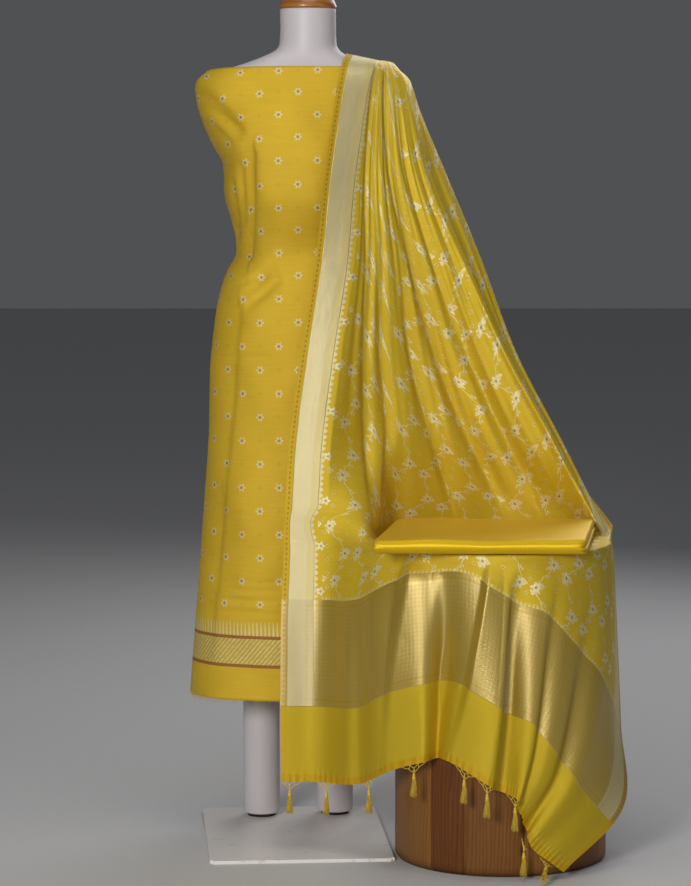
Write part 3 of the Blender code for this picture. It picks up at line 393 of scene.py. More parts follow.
# shine of the silk and of the woven silver
DUPATTA_METAL = .35
DUPATTA_ROUGHNESS = .46
ZARI_POLISH = .14
DUPATTA_ANISOTROPY = .7
KAMEEZ_METAL = .25
KAMEEZ_ROUGHNESS = .52
KAMEEZ_ANISOTROPY = .4
SALWAR_METAL = .45
SALWAR_ROUGHNESS = .42
SILK_SHINE = .15
SILVER_SHINE = 1.0
SILK_TINT = (1.0, .9, .5)
SILVER_TINT = (1.0, .96, .8)
BAND_TINT = (1.0, .96, .82)
BROCADE = {"Sheen_Weight": .04, "Sheen_Roughness": .35, "Sheen_Tint": (.95, .86, .45), "IOR": 2.1}
SILK_SHEEN = {"Sheen_Weight": .06, "Sheen_Roughness": .35, "Sheen_Tint": (.95, .86, .45),
              "Specular_IOR_Level": .6, "IOR": 1.5, "Specular_Tint": (1, .9, .5)}

CAMERA_PLACE = (.078, -5.48, 1.22)
CAMERA_PITCH = math.radians(-5.31)
CAMERA_LENS = 121.9
CAMERA_SENSOR = 36.0
WORLD_COLOUR = (.8, .82, .86)
WORLD_STRENGTH = .1
FLOOR_SIZE = 40.0
FLOOR_COLOUR = (.62, .62, .63)
FLOOR_COLOUR_DEEP = (.58, .58, .59)
# name, place, target, width and height, power, colour
LIGHTS = (
    ("key_softbox", (-1.7, -5.15, 1.95), (.1, -.2, .85), (1.1, 1.2), 144, (1, .98, .94)),
    ("front_softbox", (.6, -5.9, 1.75), (.1, -.1, .8), (2.2, 1.6), 25, (1, .99, .97)),
    ("right_softbox", (2.8, -2.6, 1.6), (.15, -.1, .8), (1.6, 1.8), 6, (.95, .97, 1)),
    ("top_softbox", (.15, -.8, 3.4), (.15, -.3, .5), (1.6, 1.6), 20, (1, .99, .97)),
    ("rim_softbox", (1.2, 2.6, 2.4), (.15, -.1, .8), (2, 2), 30, (1, 1, 1)),
)


def spline(knots, values, at):
    """Smooth curve through values at knots (Hermite, tangents from the neighbours), read at `at`."""
    knots, values = np.asarray(knots, float), np.asarray(values, float)
    at = np.clip(np.asarray(at, float), knots[0], knots[-1])
    slopes = np.empty_like(values)
    slopes[1:-1] = (values[2:] - values[:-2]) / (knots[2:] - knots[:-2])[:, None]
    slopes[0] = (values[1] - values[0]) / (knots[1] - knots[0])
    slopes[-1] = (values[-1] - values[-2]) / (knots[-1] - knots[-2])
    low = np.clip(np.searchsorted(knots, at, side="right") - 1, 0, len(knots) - 2)
    step = (knots[low + 1] - knots[low])[:, None]
    t = (at - knots[low])[:, None] / step
    return ((2 * t**3 - 3 * t**2 + 1) * values[low] + (t**3 - 2 * t**2 + t) * step * slopes[low]
            + (3 * t**2 - 2 * t**3) * values[low + 1] + (t**3 - t**2) * step * slopes[low + 1])


def smooth_step(value):
    value = np.clip(value, 0.0, 1.0)
    return value * value * (3 - 2 * value)


def run_length(points, axis=0):
    """Distance along the rows (axis 1) or columns (axis 0) of a grid of points, or along one line of them."""
    steps = np.linalg.norm(np.diff(points, axis=axis), axis=-1)
    return np.concatenate([np.zeros_like(steps.take([0], axis)), np.cumsum(steps, axis=axis)], axis=axis)


def grid_normals(points):
    """Unit normals of a grid of points, rows by columns."""
    normals = np.cross(np.gradient(points, axis=1), np.gradient(points, axis=0))
    return normals / np.maximum(np.linalg.norm(normals, axis=2, keepdims=True), 1e-9)


def ovals(sizes, angles, power):
    """x and y of ovals, a row for each half width, front depth and back depth; angle 0 is +X, the back is +Y."""
    half_width, front, back = sizes.T[:3, :, None]
    c, s = np.cos(angles), np.sin(angles)
    x = half_width * np.sign(c) * np.abs(c) ** (2 / power)
    return x, np.where(s > 0, back, front) * np.sign(s) * np.abs(s) ** (2 / power)


# ---- patterns from shader nodes
def maths(operation):
    return lambda self, other=0.0: self.graph.math(operation, self, other)


class Field:
    """A number worked out by shader nodes, so that a pattern reads as plain sums."""

    __add__ = __radd__ = maths("ADD")
    __sub__ = maths("SUBTRACT")
    __mul__ = __rmul__ = maths("MULTIPLY")
    __truediv__ = maths("DIVIDE")
    sin, cos, size = maths("SINE"), maths("COSINE"), maths("ABSOLUTE")
    least, most = maths("MINIMUM"), maths("MAXIMUM")

    def __init__(self, graph, socket):
        self.graph, self.socket = graph, socket

    def __rsub__(self, other):
        return self.graph.math("SUBTRACT", other, self)

    def wrapped(self, period):
        """The distance from the nearest whole multiple of period, -period/2 to period/2."""
        return self.graph.math("WRAP", self, period / 2, -period / 2)

    def wave(self, length):
        return (self * (2 * math.pi / length)).sin()

    def below(self, edge, soft):
        """1 under the edge, 0 over it, with a soft step of the given width."""
        return self.graph.clamp((edge - self) / soft + .5)

    def between(self, low, high, soft):
        return self.below(high, soft) * (1.0 - self.below(low, soft))


class Graph:
    """One material and the nodes that feed its shader."""

    def __init__(self, name):
        self.material = bpy.data.materials.new(name)
        self.material.use_nodes = True
        self.tree = self.material.node_tree
        self.shader = self.tree.nodes["Principled BSDF"]

    def node(self, kind, *first, **settings):
        """New node with these values or links at its first inputs."""
        node = self.tree.nodes.new("ShaderNode" + kind)
        for key, value in settings.items():
            setattr(node, key, value)
        for socket, value in zip(node.inputs, first):
            self.feed(socket, value)
        return node

    def feed(self, socket, value):
        value = value.socket if isinstance(value, Field) else value
        if isinstance(value, bpy.types.NodeSocket):
            self.tree.links.new(value, socket)
        elif isinstance(value, tuple):
            socket.default_value = (*value, 1.0)[: len(socket.default_value)]
        else:
            socket.default_value = value

    def fill(self, node, **values):
        for name, value in values.items():
            self.feed(node.inputs[name.replace("_", " ")], value)
        return Field(self, node.outputs[0])

    def math(self, operation, first, second=0.0, third=0.0):
        return Field(self, self.node("Math", first, second, third, operation=operation).outputs[0])

    def clamp(self, value):
        return Field(self, self.node("Clamp", value).outputs[0])

    def mix(self, amount, first, second):
        """Colour between first (amount 0) and second (amount 1)."""
        node = self.node("Mix", amount, data_type="RGBA")
        self.feed(node.inputs[6], first)
        self.feed(node.inputs[7], second)
        return node.outputs[2]

    def axes(self, vector):
        return [Field(self, axis) for axis in self.node("SeparateXYZ", vector).outputs]

    def flat(self):
        """Place on the flat cloth in metres: from the left edge, from the hem."""
        return self.axes(self.node("UVMap", uv_map="flat").outputs[0])[:2]

    def place(self):
        return self.node("TexCoord").outputs["Object"]

    def noise(self, vector, scale, detail=2.0, roughness=.5):
        return self.fill(self.node("TexNoise"), Vector=vector, Scale=scale, Detail=detail, Roughness=roughness)

    def spots(self, scale, detail=2.0, roughness=.5):
        return self.noise(self.place(), scale, detail, roughness)

    def streaks(self, x, y, z=0.0, detail=2.0, roughness=.5):
        return self.noise(self.node("CombineXYZ", x, y, z).outputs[0], 1.0, detail, roughness)

    def relief(self, height):
        """Bump whose height is in metres."""
        self.fill(self.shader, Normal=self.fill(self.node("Bump"), Distance=1.0, Strength=1.0, Height=height))

    def finish(self, colour, roughness=.5, metallic=0.0, **others):
        self.fill(self.shader, Base_Color=colour, Roughness=roughness, Metallic=metallic, **others)
        return self.material


# ---- materials
def flower(graph, p, q, radius, petals, heart):
    """Masks of a small woven flower at p, q = 0: its petals and its dark heart."""
    far = graph.math("SQRT", p * p + q * q)
    edge = (graph.math("ARCTAN2", q, p) * float(petals)).cos() * (radius * .22) + radius * .8
    ring = far.between(heart, heart + .001, .0006)
    return far.below(edge, SOFT_EDGE) * (1.0 - ring * .55), far.below(heart, CRISP_EDGE)


def silk(graph, u, v, light, deep, streak_scale):
    """Base colour of the brocade: weft streaks and slow changes of tone."""
    streaks = graph.streaks(u * 14.0, v * streak_scale, detail=3, roughness=.6)
    slow = graph.streaks(u * 5.0, v * 5.0)
    tone = graph.clamp((streaks - .5) * 1.1 + (slow - .5) * .8 + .5)
    return graph.mix(tone, deep, light), streaks


def finish_brocade(graph, colour, silver, relief, **others):
    """Shine that is drawn out along the cloth's threads, stronger on the woven silver."""
    graph.relief(relief)
    tangent = graph.node("Tangent", direction_type="UV_MAP", uv_map="flat")
    graph.fill(graph.shader, Tangent=tangent.outputs[0])
    return graph.finish(colour, Specular_IOR_Level=SILK_SHINE + silver * (SILVER_SHINE - SILK_SHINE),
                        Anisotropic_Rotation=.25, **others, **BROCADE)


def kameez_material():
    graph = Graph("kameez_brocade")
    u, v = graph.flat()
    colour, streaks = silk(graph, u, v, KAMEEZ_LIGHT, KAMEEZ_DEEP, KAMEEZ_STREAKS)
    plain_top, band_top, line_width, teeth_top = KAMEEZ_BORDER
    across, up = BUTI_PITCH
    masks = []
    for half_step in (0.0, .5):
        p = (u - (BUTI_START[0] + half_step * across)).wrapped(across)
        q = (v - (BUTI_START[1] + half_step * up)).wrapped(up)
        ghost, _ = flower(graph, (p.size() - across / 2).size(), q, BUTI_RADIUS * .6, 4, NO_HEART)
        masks.append((*flower(graph, p, q, BUTI_RADIUS, 6, BUTI_HEART), ghost))
    field = 1.0 - v.below(teeth_top + .006, .004)
    petals, hearts, ghosts = (first.most(second) * field for first, second in zip(*masks))
    colour = graph.mix(ghosts * .22, colour, KAMEEZ_GHOST)

    band = v.between(plain_top, band_top, SOFT_EDGE)
    slant = (u - v * .85).wrapped(BAND_STRIPE_PITCH).size()
    worn = graph.streaks(u * 160.0, v * 160.0)
    stripes = slant.below(BAND_STRIPE_PITCH * .23, BORDER_EDGE) * band * graph.clamp(worn * 2.4 - .5)
    taper = (v - band_top) * (-.05) + TOOTH_PITCH * .3
    teeth = u.wrapped(TOOTH_PITCH).size().below(taper, CRISP_EDGE)
    teeth = teeth * v.between(band_top + line_width, teeth_top, .002)
    lines = v.between(plain_top - line_width, plain_top, CRISP_EDGE)
    lines = lines.most(v.between(band_top, band_top + line_width, CRISP_EDGE))
    silver = graph.clamp(petals * .75 + stripes * .85 + teeth * .8)
    for amount, tint in (
        (band * .35, KAMEEZ_BAND), (lines * .9, LINE_BROWN),
        ((u.wave(LINE_KNOT_PITCH) * .5 + .5) * lines * .35, LINE_COPPER),
        (silver * .85, BUTI_SILVER), (hearts * .8, HEART_GREY),
    ):
        colour = graph.mix(amount, colour, tint)
    weave = u.wave(WEAVE_PITCH) * v.wave(WEAVE_PITCH) * WEAVE_HEIGHT
    relief = weave + silver * .00012 + lines * .0001 + (streaks - .5) * .00016
    return finish_brocade(graph, colour, silver, relief, roughness=KAMEEZ_ROUGHNESS, metallic=KAMEEZ_METAL,
                          Anisotropic=KAMEEZ_ANISOTROPY, Specular_Tint=SILK_TINT)


def vines(graph, u, v):
    """Masks of the field's wavy vines with flowers at their turns, and of the dark flower hearts."""
    across, up = JAAL_PITCH
    p = u.wrapped(across)
    along = v + (u - p) / across * (up * .5)
    off = p - along.wave(up) * JAAL_SWAY
    line = (off - along.wave(up * .17) * .0012).size().below(VINE_WIDTH / 2, .0007)
    q = (along - up / 4).wrapped(up / 2)
    side = off - (along * (4 * math.pi / up)).cos() * (JAAL_LEAF_OUT * .6)
    dot_q = (along - up / 8).wrapped(up / 4)
    # place, size as a share of the flower's, petals, heart, silver of the petals
    parts = [flower(graph, a, b, JAAL_FLOWER * size, petals, heart) for a, b, size, petals, heart in (
        (off, q, 1.0, 6, JAAL_HEART),
        (off - JAAL_LEAF_OUT, q - JAAL_FLOWER * .35, .5, 3, NO_HEART),
        (off + JAAL_LEAF_OUT * .75, q + JAAL_FLOWER * .85, .46, 3, NO_HEART),
        (side, along.wrapped(up / 4), .36, 4, .0009),
        (p.size() - across / 2, dot_q, .34, 4, .0012),
    )]
    (petals, hearts), (leaves, _), (lower, _), (buds, bud_hearts), (sprigs, dots) = parts
    torn = graph.clamp(graph.streaks(u * 900.0, v * 260.0, detail=1) * 4.0 - 1.05)
    silver = petals.most(line * .85).most(leaves.most(lower) * .9).most(buds * .9).most(sprigs * .55)
    return silver * torn, hearts.most(bud_hearts * .8).most(dots * .9)


def dupatta_material():
    graph = Graph("dupatta_brocade")
    u, v = graph.flat()
    colour, streaks = silk(graph, u, v, DUPATTA_LIGHT, DUPATTA_DEEP, DUPATTA_STREAKS)
    edge = u.least(DUPATTA_WIDTH - u)
    end = v.least(DUPATTA_LENGTH - v)
    strip, zari, lace = BORDER_LINES
    stripe_top, band_top = PALLU_LINES
    in_stripe = end.below(stripe_top, SOFT_EDGE)
    in_band = end.between(stripe_top, band_top, SOFT_EDGE)
    above_band = 1.0 - end.below(band_top, SOFT_EDGE)
    in_border = edge.between(strip, zari, BORDER_EDGE) * (1.0 - in_stripe)
    in_lace = edge.between(zari, lace, BORDER_EDGE) * (1.0 - in_stripe)

    inner = 1.0 - edge.below(lace + .004, .002)
    in_field = above_band * (1.0 - edge.below(zari, SOFT_EDGE)) * inner
    petals, hearts = (mask * in_field for mask in vines(graph, u, v))
    arch = v.wave(2 * LACE_PITCH).size() * ((lace - zari) * .55) + zari + .001
    corner, corner_heart = (mask * above_band for mask in flower(
        graph, edge - (lace + .001), (v - CORNER_START).wrapped(CORNER_PITCH), CORNER_RADIUS, 5, .002))
    grain = graph.streaks(u * 700.0, v * 700.0, detail=1)
    grid = graph.clamp(v.wave(GRID_PITCH) * u.wave(GRID_PITCH) * .9 + .5)
    dash = v.wrapped(DASH_PITCH).size().below(DASH_PITCH * .28, SOFT_EDGE) * edge.between(*DASH_SPAN, CRISP_EDGE)

    diamond = v.wrapped(BAND_DOT).size() + u.wrapped(BAND_DOT).size()
    band_dots = diamond.between(BAND_DOT * .2, BAND_DOT * .44, .0009)
    comb = u.wrapped(COMB_PITCH).size().below(COMB_TOOTH[0] - (end - band_top) * .2, SOFT_EDGE)
    comb = comb * end.between(band_top, band_top + COMB_TOOTH[1], SOFT_EDGE) * inner
    cut = end.between(*BAND_CUTS[0], SOFT_EDGE).most(end.between(*BAND_CUTS[1], SOFT_EDGE))
    band_silver = in_band * (.36 + band_dots * .45 + grid * .32) * (1.0 - cut * .4)
    border_silver = in_border * (.8 + grain * .3) * (1.0 - edge.between(BORDER_GRID_FROM, zari, .003) * grid * .5)
    lace_mask = edge.below(arch, .0014) * in_lace
    woven = graph.clamp(border_silver.most(lace_mask * .95).most(band_silver))
    bright = graph.clamp(petals.most(corner * .95).most(comb * .45))
    silver = woven.most(bright)
    for amount, tint in (
        (in_stripe * .55, STRIPE_YELLOW), (in_band * .7, BAND_GROUND),
        (end.below(HEM_STRIP, .002) * .8, HEM_YELLOW), (edge.below(strip, SOFT_EDGE) * .5, HEM_YELLOW),
        (woven * .9, graph.mix(in_band * (1.0 - in_border * .8), ZARI, BAND_THREAD)), (bright * .85, SILVER),
        (hearts.most(corner_heart * .8) * .85, HEART_GREY), (dash * (1.0 - in_stripe) * .5, DASH_PINK),
    ):
        colour = graph.mix(amount, colour, tint)
    weave = u.wave(WEAVE_PITCH) * v.wave(WEAVE_PITCH) * WEAVE_HEIGHT * (1.0 - in_band * (1.0 - in_border) * .8)
    worn = graph.streaks(u * 34.0, v * 13.0, detail=3) * (in_border * .0016).most(in_band * .0006)
    relief = weave + silver * .0001 + (streaks - .5) * .00014 + in_band * (band_dots + grid) * .00004 + worn
    tint = graph.mix(silver, SILK_TINT, graph.mix(in_band, SILVER_TINT, BAND_TINT))
    return finish_brocade(graph, colour, silver, relief, roughness=DUPATTA_ROUGHNESS - silver * ZARI_POLISH,
                          metallic=DUPATTA_METAL, Anisotropic=DUPATTA_ANISOTROPY, Specular_Tint=tint)


def salwar_material():
    graph = Graph("salwar_satin")
    x, y, z = graph.axes(graph.place())
    streaks = graph.streaks(x * 12.0, y * 500.0, z * 500.0, 3, .6)
    slow = graph.spots(9.0)
    tone = graph.clamp((streaks - .5) * .9 + (slow - .5) * .9 + .5)
    weave = x.wave(WEAVE_PITCH) * y.wave(WEAVE_PITCH) * .00005
    graph.relief(weave + (streaks - .5) * .00016 + slow * .0012)
    return graph.finish(graph.mix(tone, *SALWAR_TONES), SALWAR_ROUGHNESS, SALWAR_METAL, **SILK_SHEEN)


def tassel_material():
    graph = Graph("tassel_silk_thread")
    x, y, z = graph.axes(graph.place())
    strands = graph.streaks(x * 900.0, y * 900.0, z * 60.0)
    graph.relief(strands * .0002)
    return graph.finish(graph.mix(strands, TASSEL_DEEP, TASSEL_LIGHT), .55, **SILK_SHEEN)


def thread_material():
    graph = Graph("kameez_loose_thread")
    return graph.finish(graph.mix(graph.spots(300.0, 1), KAMEEZ_DEEP, TASSEL_LIGHT), .6)


def form_material():
    graph = Graph("form_white_cover")
    slow = graph.spots(7.0)
    graph.relief(graph.spots(900.0) * .00008 + slow * .0004)
    return graph.finish(graph.mix(slow, FORM_LIGHT, FORM_SHADE), .42 + slow * .08)


def plate_material():
    graph = Graph("plate_white_paint")
    worn = graph.spots(24.0, 4, .7).below(.36, .06)
    graph.relief(graph.spots(350.0) * .00006)
    return graph.finish(graph.mix(worn * .35, PLATE_LIGHT, PLATE_SCUFF), .38 + worn * .2)


def rubber_material():
    graph = Graph("foot_black_rubber")
    fine = graph.spots(500.0)
    graph.relief(fine * .0001)
    return graph.finish(graph.mix(fine, *RUBBER_TONES), .6)


def cap_material():
    graph = Graph("cap_turned_wood")
    x, y, z = graph.axes(graph.place())
    ring = graph.math("SQRT", x * x * 6.0 + z * z) * 520.0 + graph.spots(22.0, 3) * 9.0
    fibre = graph.streaks(x * 60.0, y * 900.0, z * 900.0, 3)
    grain = graph.clamp((ring.sin() * .5 + .5) * .6 + fibre * .5)
    graph.relief(fibre * .00015)
    colour = graph.mix(grain, *CAP_TONES)
    return graph.finish(colour, .32 + fibre * .1, Coat_Weight=.3, Coat_Roughness=.2)


def drum_material():
    graph = Graph("drum_plank_wood")
    height = graph.axes(graph.place())[2]
    u, v = graph.flat()
    tone = Field(graph, graph.node("Attribute", attribute_name="tone").outputs["Fac"])
    warp = graph.streaks(u * 9.0 + tone * 31.0, v * 1.8, detail=3, roughness=.6)
    lines = (u * 900.0 + warp * 46.0 + tone * 57.0).sin() * .5 + .5
    fibre = graph.streaks(u * 420.0 + tone * 13.0, v * 7.0, height, 4, .65)
    pores = graph.streaks(u * 1400.0, v * 40.0)
    grain = graph.clamp(lines * .35 + fibre * .8)
    colour = graph.mix(tone, graph.mix(grain, *RED_TONES), graph.mix(grain, *TAN_TONES))
    dark = graph.clamp((graph.streaks(u * 12.0, v * 5.0, 3.0, 3) - .56) * 5.0) * .35
    across = (u - KNOT_START[0]).wrapped(KNOT_PITCH[0]) * KNOT_SLIM
    along = (v - KNOT_START[1]).wrapped(KNOT_PITCH[1])
    knots = graph.math("SQRT", across * across + along * along).below(KNOT_SIZE, .01)
    # painted shade: the planks are drawn darker over the bottom of the drum, at its foot
    foot_shade = v.below(FOOT_SHADE_HEIGHT, .01) * .4
    colour = graph.mix(graph.clamp(dark + knots * .7 + foot_shade), colour, WOOD_DARK)
    graph.relief(fibre * .00022 + pores * .0001)
    return graph.finish(colour, .36 + fibre * .16, Specular_IOR_Level=.35, Specular_Tint=(1.0, .85, .65))


# ---- camera, floor and light
def add_item(name, data):
    item = bpy.data.objects.new(name, data)
    bpy.context.collection.objects.link(item)
    return item


def build_camera():
    lens = bpy.data.cameras.new("photo_camera")
    lens.sensor_width, lens.lens = CAMERA_SENSOR, CAMERA_LENS
    camera = add_item("photo_camera", lens)
    camera.location = CAMERA_PLACE
    camera.rotation_euler = (math.radians(90) + CAMERA_PITCH, 0.0, 0.0)
    bpy.context.scene.camera = camera


def build_studio():
    world = bpy.data.worlds.new("studio")
    world.use_nodes = True
    inputs = world.node_tree.nodes["Background"].inputs
    inputs["Color"].default_value = (*WORLD_COLOUR, 1.0)
    inputs["Strength"].default_value = WORLD_STRENGTH
    bpy.context.scene.world = world
    bpy.context.scene.view_settings.view_transform = "Standard"
    for name, place, target, size, power, colour in LIGHTS:
        light = bpy.data.lights.new(name, "AREA")
        light.shape, light.energy, light.color = "RECTANGLE", power, colour
        light.size, light.size_y = size
        item = add_item(name, light)
        item.location = place
        item.rotation_euler = (Vector(target) - Vector(place)).to_track_quat("-Z", "Y").to_euler()
    bpy.ops.mesh.primitive_plane_add(size=FLOOR_SIZE, location=(0.0, 0.0, 0.0))
    floor = bpy.context.object
    floor.name = "floor"
    graph = Graph("floor_pale")
    graph.finish(graph.mix(graph.spots(60.0, 3), FLOOR_COLOUR, FLOOR_COLOUR_DEEP), roughness=.75)
    floor.data.materials.append(graph.material)


# ---- meshes
def add_mesh(name, vertices, faces, material, flat=None, tones=None):
    """Smooth mesh; flat gives each vertex its place on the flat cloth, tones each vertex a number."""
    mesh = bpy.data.meshes.new(name)
    mesh.from_pydata([tuple(p) for p in vertices], [], faces)
    if flat is not None:
        corners = np.empty(len(mesh.loops), dtype=np.int32)
        mesh.loops.foreach_get("vertex_index", corners)
        flat = np.asarray(flat, dtype=np.float32).reshape(-1, 2)
        mesh.uv_layers.new(name="flat").data.foreach_set("uv", flat[corners].ravel())
    if tones is not None:
        mesh.attributes.new("tone", "FLOAT", "POINT").data.foreach_set("value", tones)
    mesh.materials.append(material)
    mesh.shade_smooth()
    return add_item(name, mesh)


def grid_faces(rows, columns, closed=False, capped=False):
    """Quads of a grid; closed joins its last column to the first, capped fills its first and last row."""
    following = [*range(1, columns), 0] if closed else range(1, columns)
    faces = [
        (r + c, r + d, r + columns + d, r + columns + c)
        for r in range(0, (rows - 1) * columns, columns) for c, d in zip(range(columns), following)
    ]
    if capped:
        faces += [tuple(reversed(range(columns))), tuple(range((rows - 1) * columns, rows * columns))]
    return faces


def add_grid(name, points, material, flat=None, tones=None, **kind):
    faces = grid_faces(*points.shape[:2], **kind)
    return add_mesh(name, points.reshape(-1, 3), faces, material, flat, tones)


def add_turned(name, profile, centre, sides, material):
    """Body of revolution about an upright axis; profile is (radius, height) from the bottom up."""
    angles = np.linspace(0.0, 2 * math.pi, sides, endpoint=False)
    profile = np.asarray(profile)
    points = np.empty((len(profile), sides, 3))
    points[..., 0] = centre[0] + profile[:, :1] * np.cos(angles)
    points[..., 1] = centre[1] + profile[:, :1] * np.sin(angles)
    points[..., 2] = profile[:, 1:2]
    return add_grid(name, points, material, closed=True)


def place_piece(item, nodes):
    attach(item, ROOT)
    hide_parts(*nodes)


class Tubes:
    """Many thin tubes gathered in one mesh, such as cords and threads."""

    def __init__(self):
        self.vertices, self.faces = [], []

    def add(self, path, radii, sides=6):
        path = np.asarray(path, float)
        along = np.gradient(path, axis=0)
        along /= np.linalg.norm(along, axis=1, keepdims=True)
        guide = (0.0, 0.0, 1.0) if abs(along[0][2]) < .8 else (1.0, 0.0, 0.0)
        across = np.cross(along, guide)
        across /= np.linalg.norm(across, axis=1, keepdims=True)
        third = np.cross(along, across)
        start = len(self.vertices)
        turns = [2 * math.pi * k / sides for k in range(sides)]
        for point, radius, a, b in zip(path, np.broadcast_to(radii, len(path)), across, third):
            self.vertices += [point + radius * (math.cos(turn) * a + math.sin(turn) * b) for turn in turns]
        for face in grid_faces(len(path), sides, closed=True, capped=True):
            self.faces.append(tuple(start + corner for corner in face))

    def build(self, name, material):
        return add_mesh(name, self.vertices, self.faces, material)


# ---- dress form
def build_plate():
    bm = bmesh.new()
    bmesh.ops.create_cube(bm, size=1.0)
    bmesh.ops.scale(bm, vec=PLATE_SIZE, verts=bm.verts)
    upright = [e for e in bm.edges if abs(e.verts[0].co.z - e.verts[1].co.z) > PLATE_SIZE[2] / 2]
    bmesh.ops.bevel(bm, geom=upright, offset=PLATE_CORNER, segments=6, affect="EDGES")
    level = [e for e in bm.edges if abs(e.verts[0].co.z - e.verts[1].co.z) < 1e-6]
    rims = [e for e in level if len(e.link_faces) == 2 and abs(e.calc_face_angle()) > 1.0]
    bmesh.ops.bevel(bm, geom=rims, offset=PLATE_RIM, segments=2, affect="EDGES")
    bmesh.ops.rotate(bm, verts=bm.verts, matrix=Matrix.Rotation(PLATE_TURN, 3, "Z"))
    bmesh.ops.translate(bm, verts=bm.verts, vec=(*PLATE_CENTRE, PLATE_SIZE[2] / 2))
    mesh = bpy.data.meshes.new("form_base_plate_painted")
    bm.to_mesh(mesh)
    bm.free()
    mesh.materials.append(plate_material())
    place_piece(add_item("form_base_plate_painted", mesh), ["form_base_plate"])


def build_form():
    skin = form_material()
    table = np.array(TORSO_SECTIONS)
    heights = np.linspace(table[0, 0], table[-1, 0], FORM_ROWS)
    sizes = spline(table[:, 0], table[:, 1:], heights)
    angles = 2 * math.pi * np.arange(FORM_COLUMNS) / FORM_COLUMNS
    power = TORSO_POWER + (2.0 - TORSO_POWER) * smooth_step((NECK_WIDTH - sizes[:, :1]) / NECK_BLEND)
    x, y = ovals(sizes, angles, power)
    points = np.stack([sizes[:, 3:] + x, y, np.broadcast_to(heights[:, None], x.shape)], axis=2)
    torso = add_grid("form_torso_skin", points, skin, closed=True, capped=True)
    place_piece(torso, ["form_torso"])

    foot = PLATE_SIZE[2] + .0003
    base = foot + BOOT_HEIGHT
    boot_profile = ((0.0, foot), (POST_FOOT_RADIUS, foot), (POST_FOOT_RADIUS, base))
    tube_profile = (
        (0.0, base), (POST_RADIUS - .0025, base), (POST_RADIUS - .0008, base + .0008),
        (POST_RADIUS, base + .003), (POST_RADIUS, POST_TOP), (0.0, POST_TOP),
    )
    for name, place in POSTS.items():
        boot = add_turned(f"{name}_rubber", boot_profile, place, POST_COLUMNS, rubber_material())
        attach(boot, ROOT)
        tube = add_turned(f"{name}_tube", tube_profile, place, POST_COLUMNS, skin)
        place_piece(tube, [name])

    knots = np.array(CAP_PROFILE)
    profile = spline(np.arange(len(knots)), knots, np.linspace(0, len(knots) - 1, CAP_ROWS))
    profile[:, 1] += CAP_BASE
    radius, top = profile[-1]
    profile = np.vstack([[(0.0, CAP_BASE)], profile, [(radius * .5, top + .0008), (0.0, top + .0011)]])
    cap = add_turned("form_neck_cap_turned", profile, (CAP_AXIS_X, 0.0), FORM_COLUMNS, cap_material())
    place_piece(cap, ["form_neck_cap"])
    build_plate()


# ---- wooden drum
def drum_outline():
    """Angle, distance inside the radius and plank number of the points round the drum."""
    outline = []
    edge = PLANK_EDGE / DRUM_RADIUS
    for plank, (start, end) in enumerate(zip(DRUM_JOINTS, (*DRUM_JOINTS[1:], DRUM_JOINTS[0] + 360))):
        a, b = math.radians(start), math.radians(end)
        outline += [(a + edge * .15, PLANK_EDGE * 1.3, plank), (a + edge * .5, PLANK_EDGE * .5, plank)]
        for k in range(PLANK_POINTS):
            outline.append((a + edge + (b - a - 2 * edge) * k / (PLANK_POINTS - 1), 0.0, plank))
        outline += [(b - edge * .5, PLANK_EDGE * .5, plank), (b - edge * .15, PLANK_EDGE * 1.3, plank)]
    return outline


def build_drum():
    angles, inside, planks = np.array(drum_outline()).T
    heights, insets = np.array(DRUM_RINGS).T[:, :, None]
    radii = DRUM_RADIUS - insets - inside
    level = np.broadcast_to(heights, radii.shape)
    x, y = DRUM_CENTRE[0] + radii * np.cos(angles), DRUM_CENTRE[1] + radii * np.sin(angles)
    tones = np.tile([DRUM_TONES[int(plank)] for plank in planks], len(DRUM_RINGS))
    flat = np.stack([np.broadcast_to(angles * DRUM_RADIUS, radii.shape), level], axis=2)
    drum = add_grid("wood_drum_planks", np.stack([x, y, level], axis=2), drum_material(), flat, tones,
                    closed=True, capped=True)
    place_piece(drum, ["wood_drum"])


# ---- kameez
def crumple(x, z, size, key):
    """Soft uneven waves of a worn cloth, from a few crossing ripples."""
    rng = np.random.default_rng(SEED + key)
    total = np.zeros(np.broadcast(x, z).shape)
    for length in CRUMPLE_LENGTHS:
        for _ in range(3):
            turn = rng.uniform(-.9, .9)
            phase = rng.uniform(0, 2 * math.pi)
            along = x * math.cos(turn) + z * math.sin(turn)
            total += length * np.sin(2 * math.pi * along / length + phase + 1.7 * np.sin(5.1 * z + phase))
    return size * total / sum(CRUMPLE_LENGTHS)


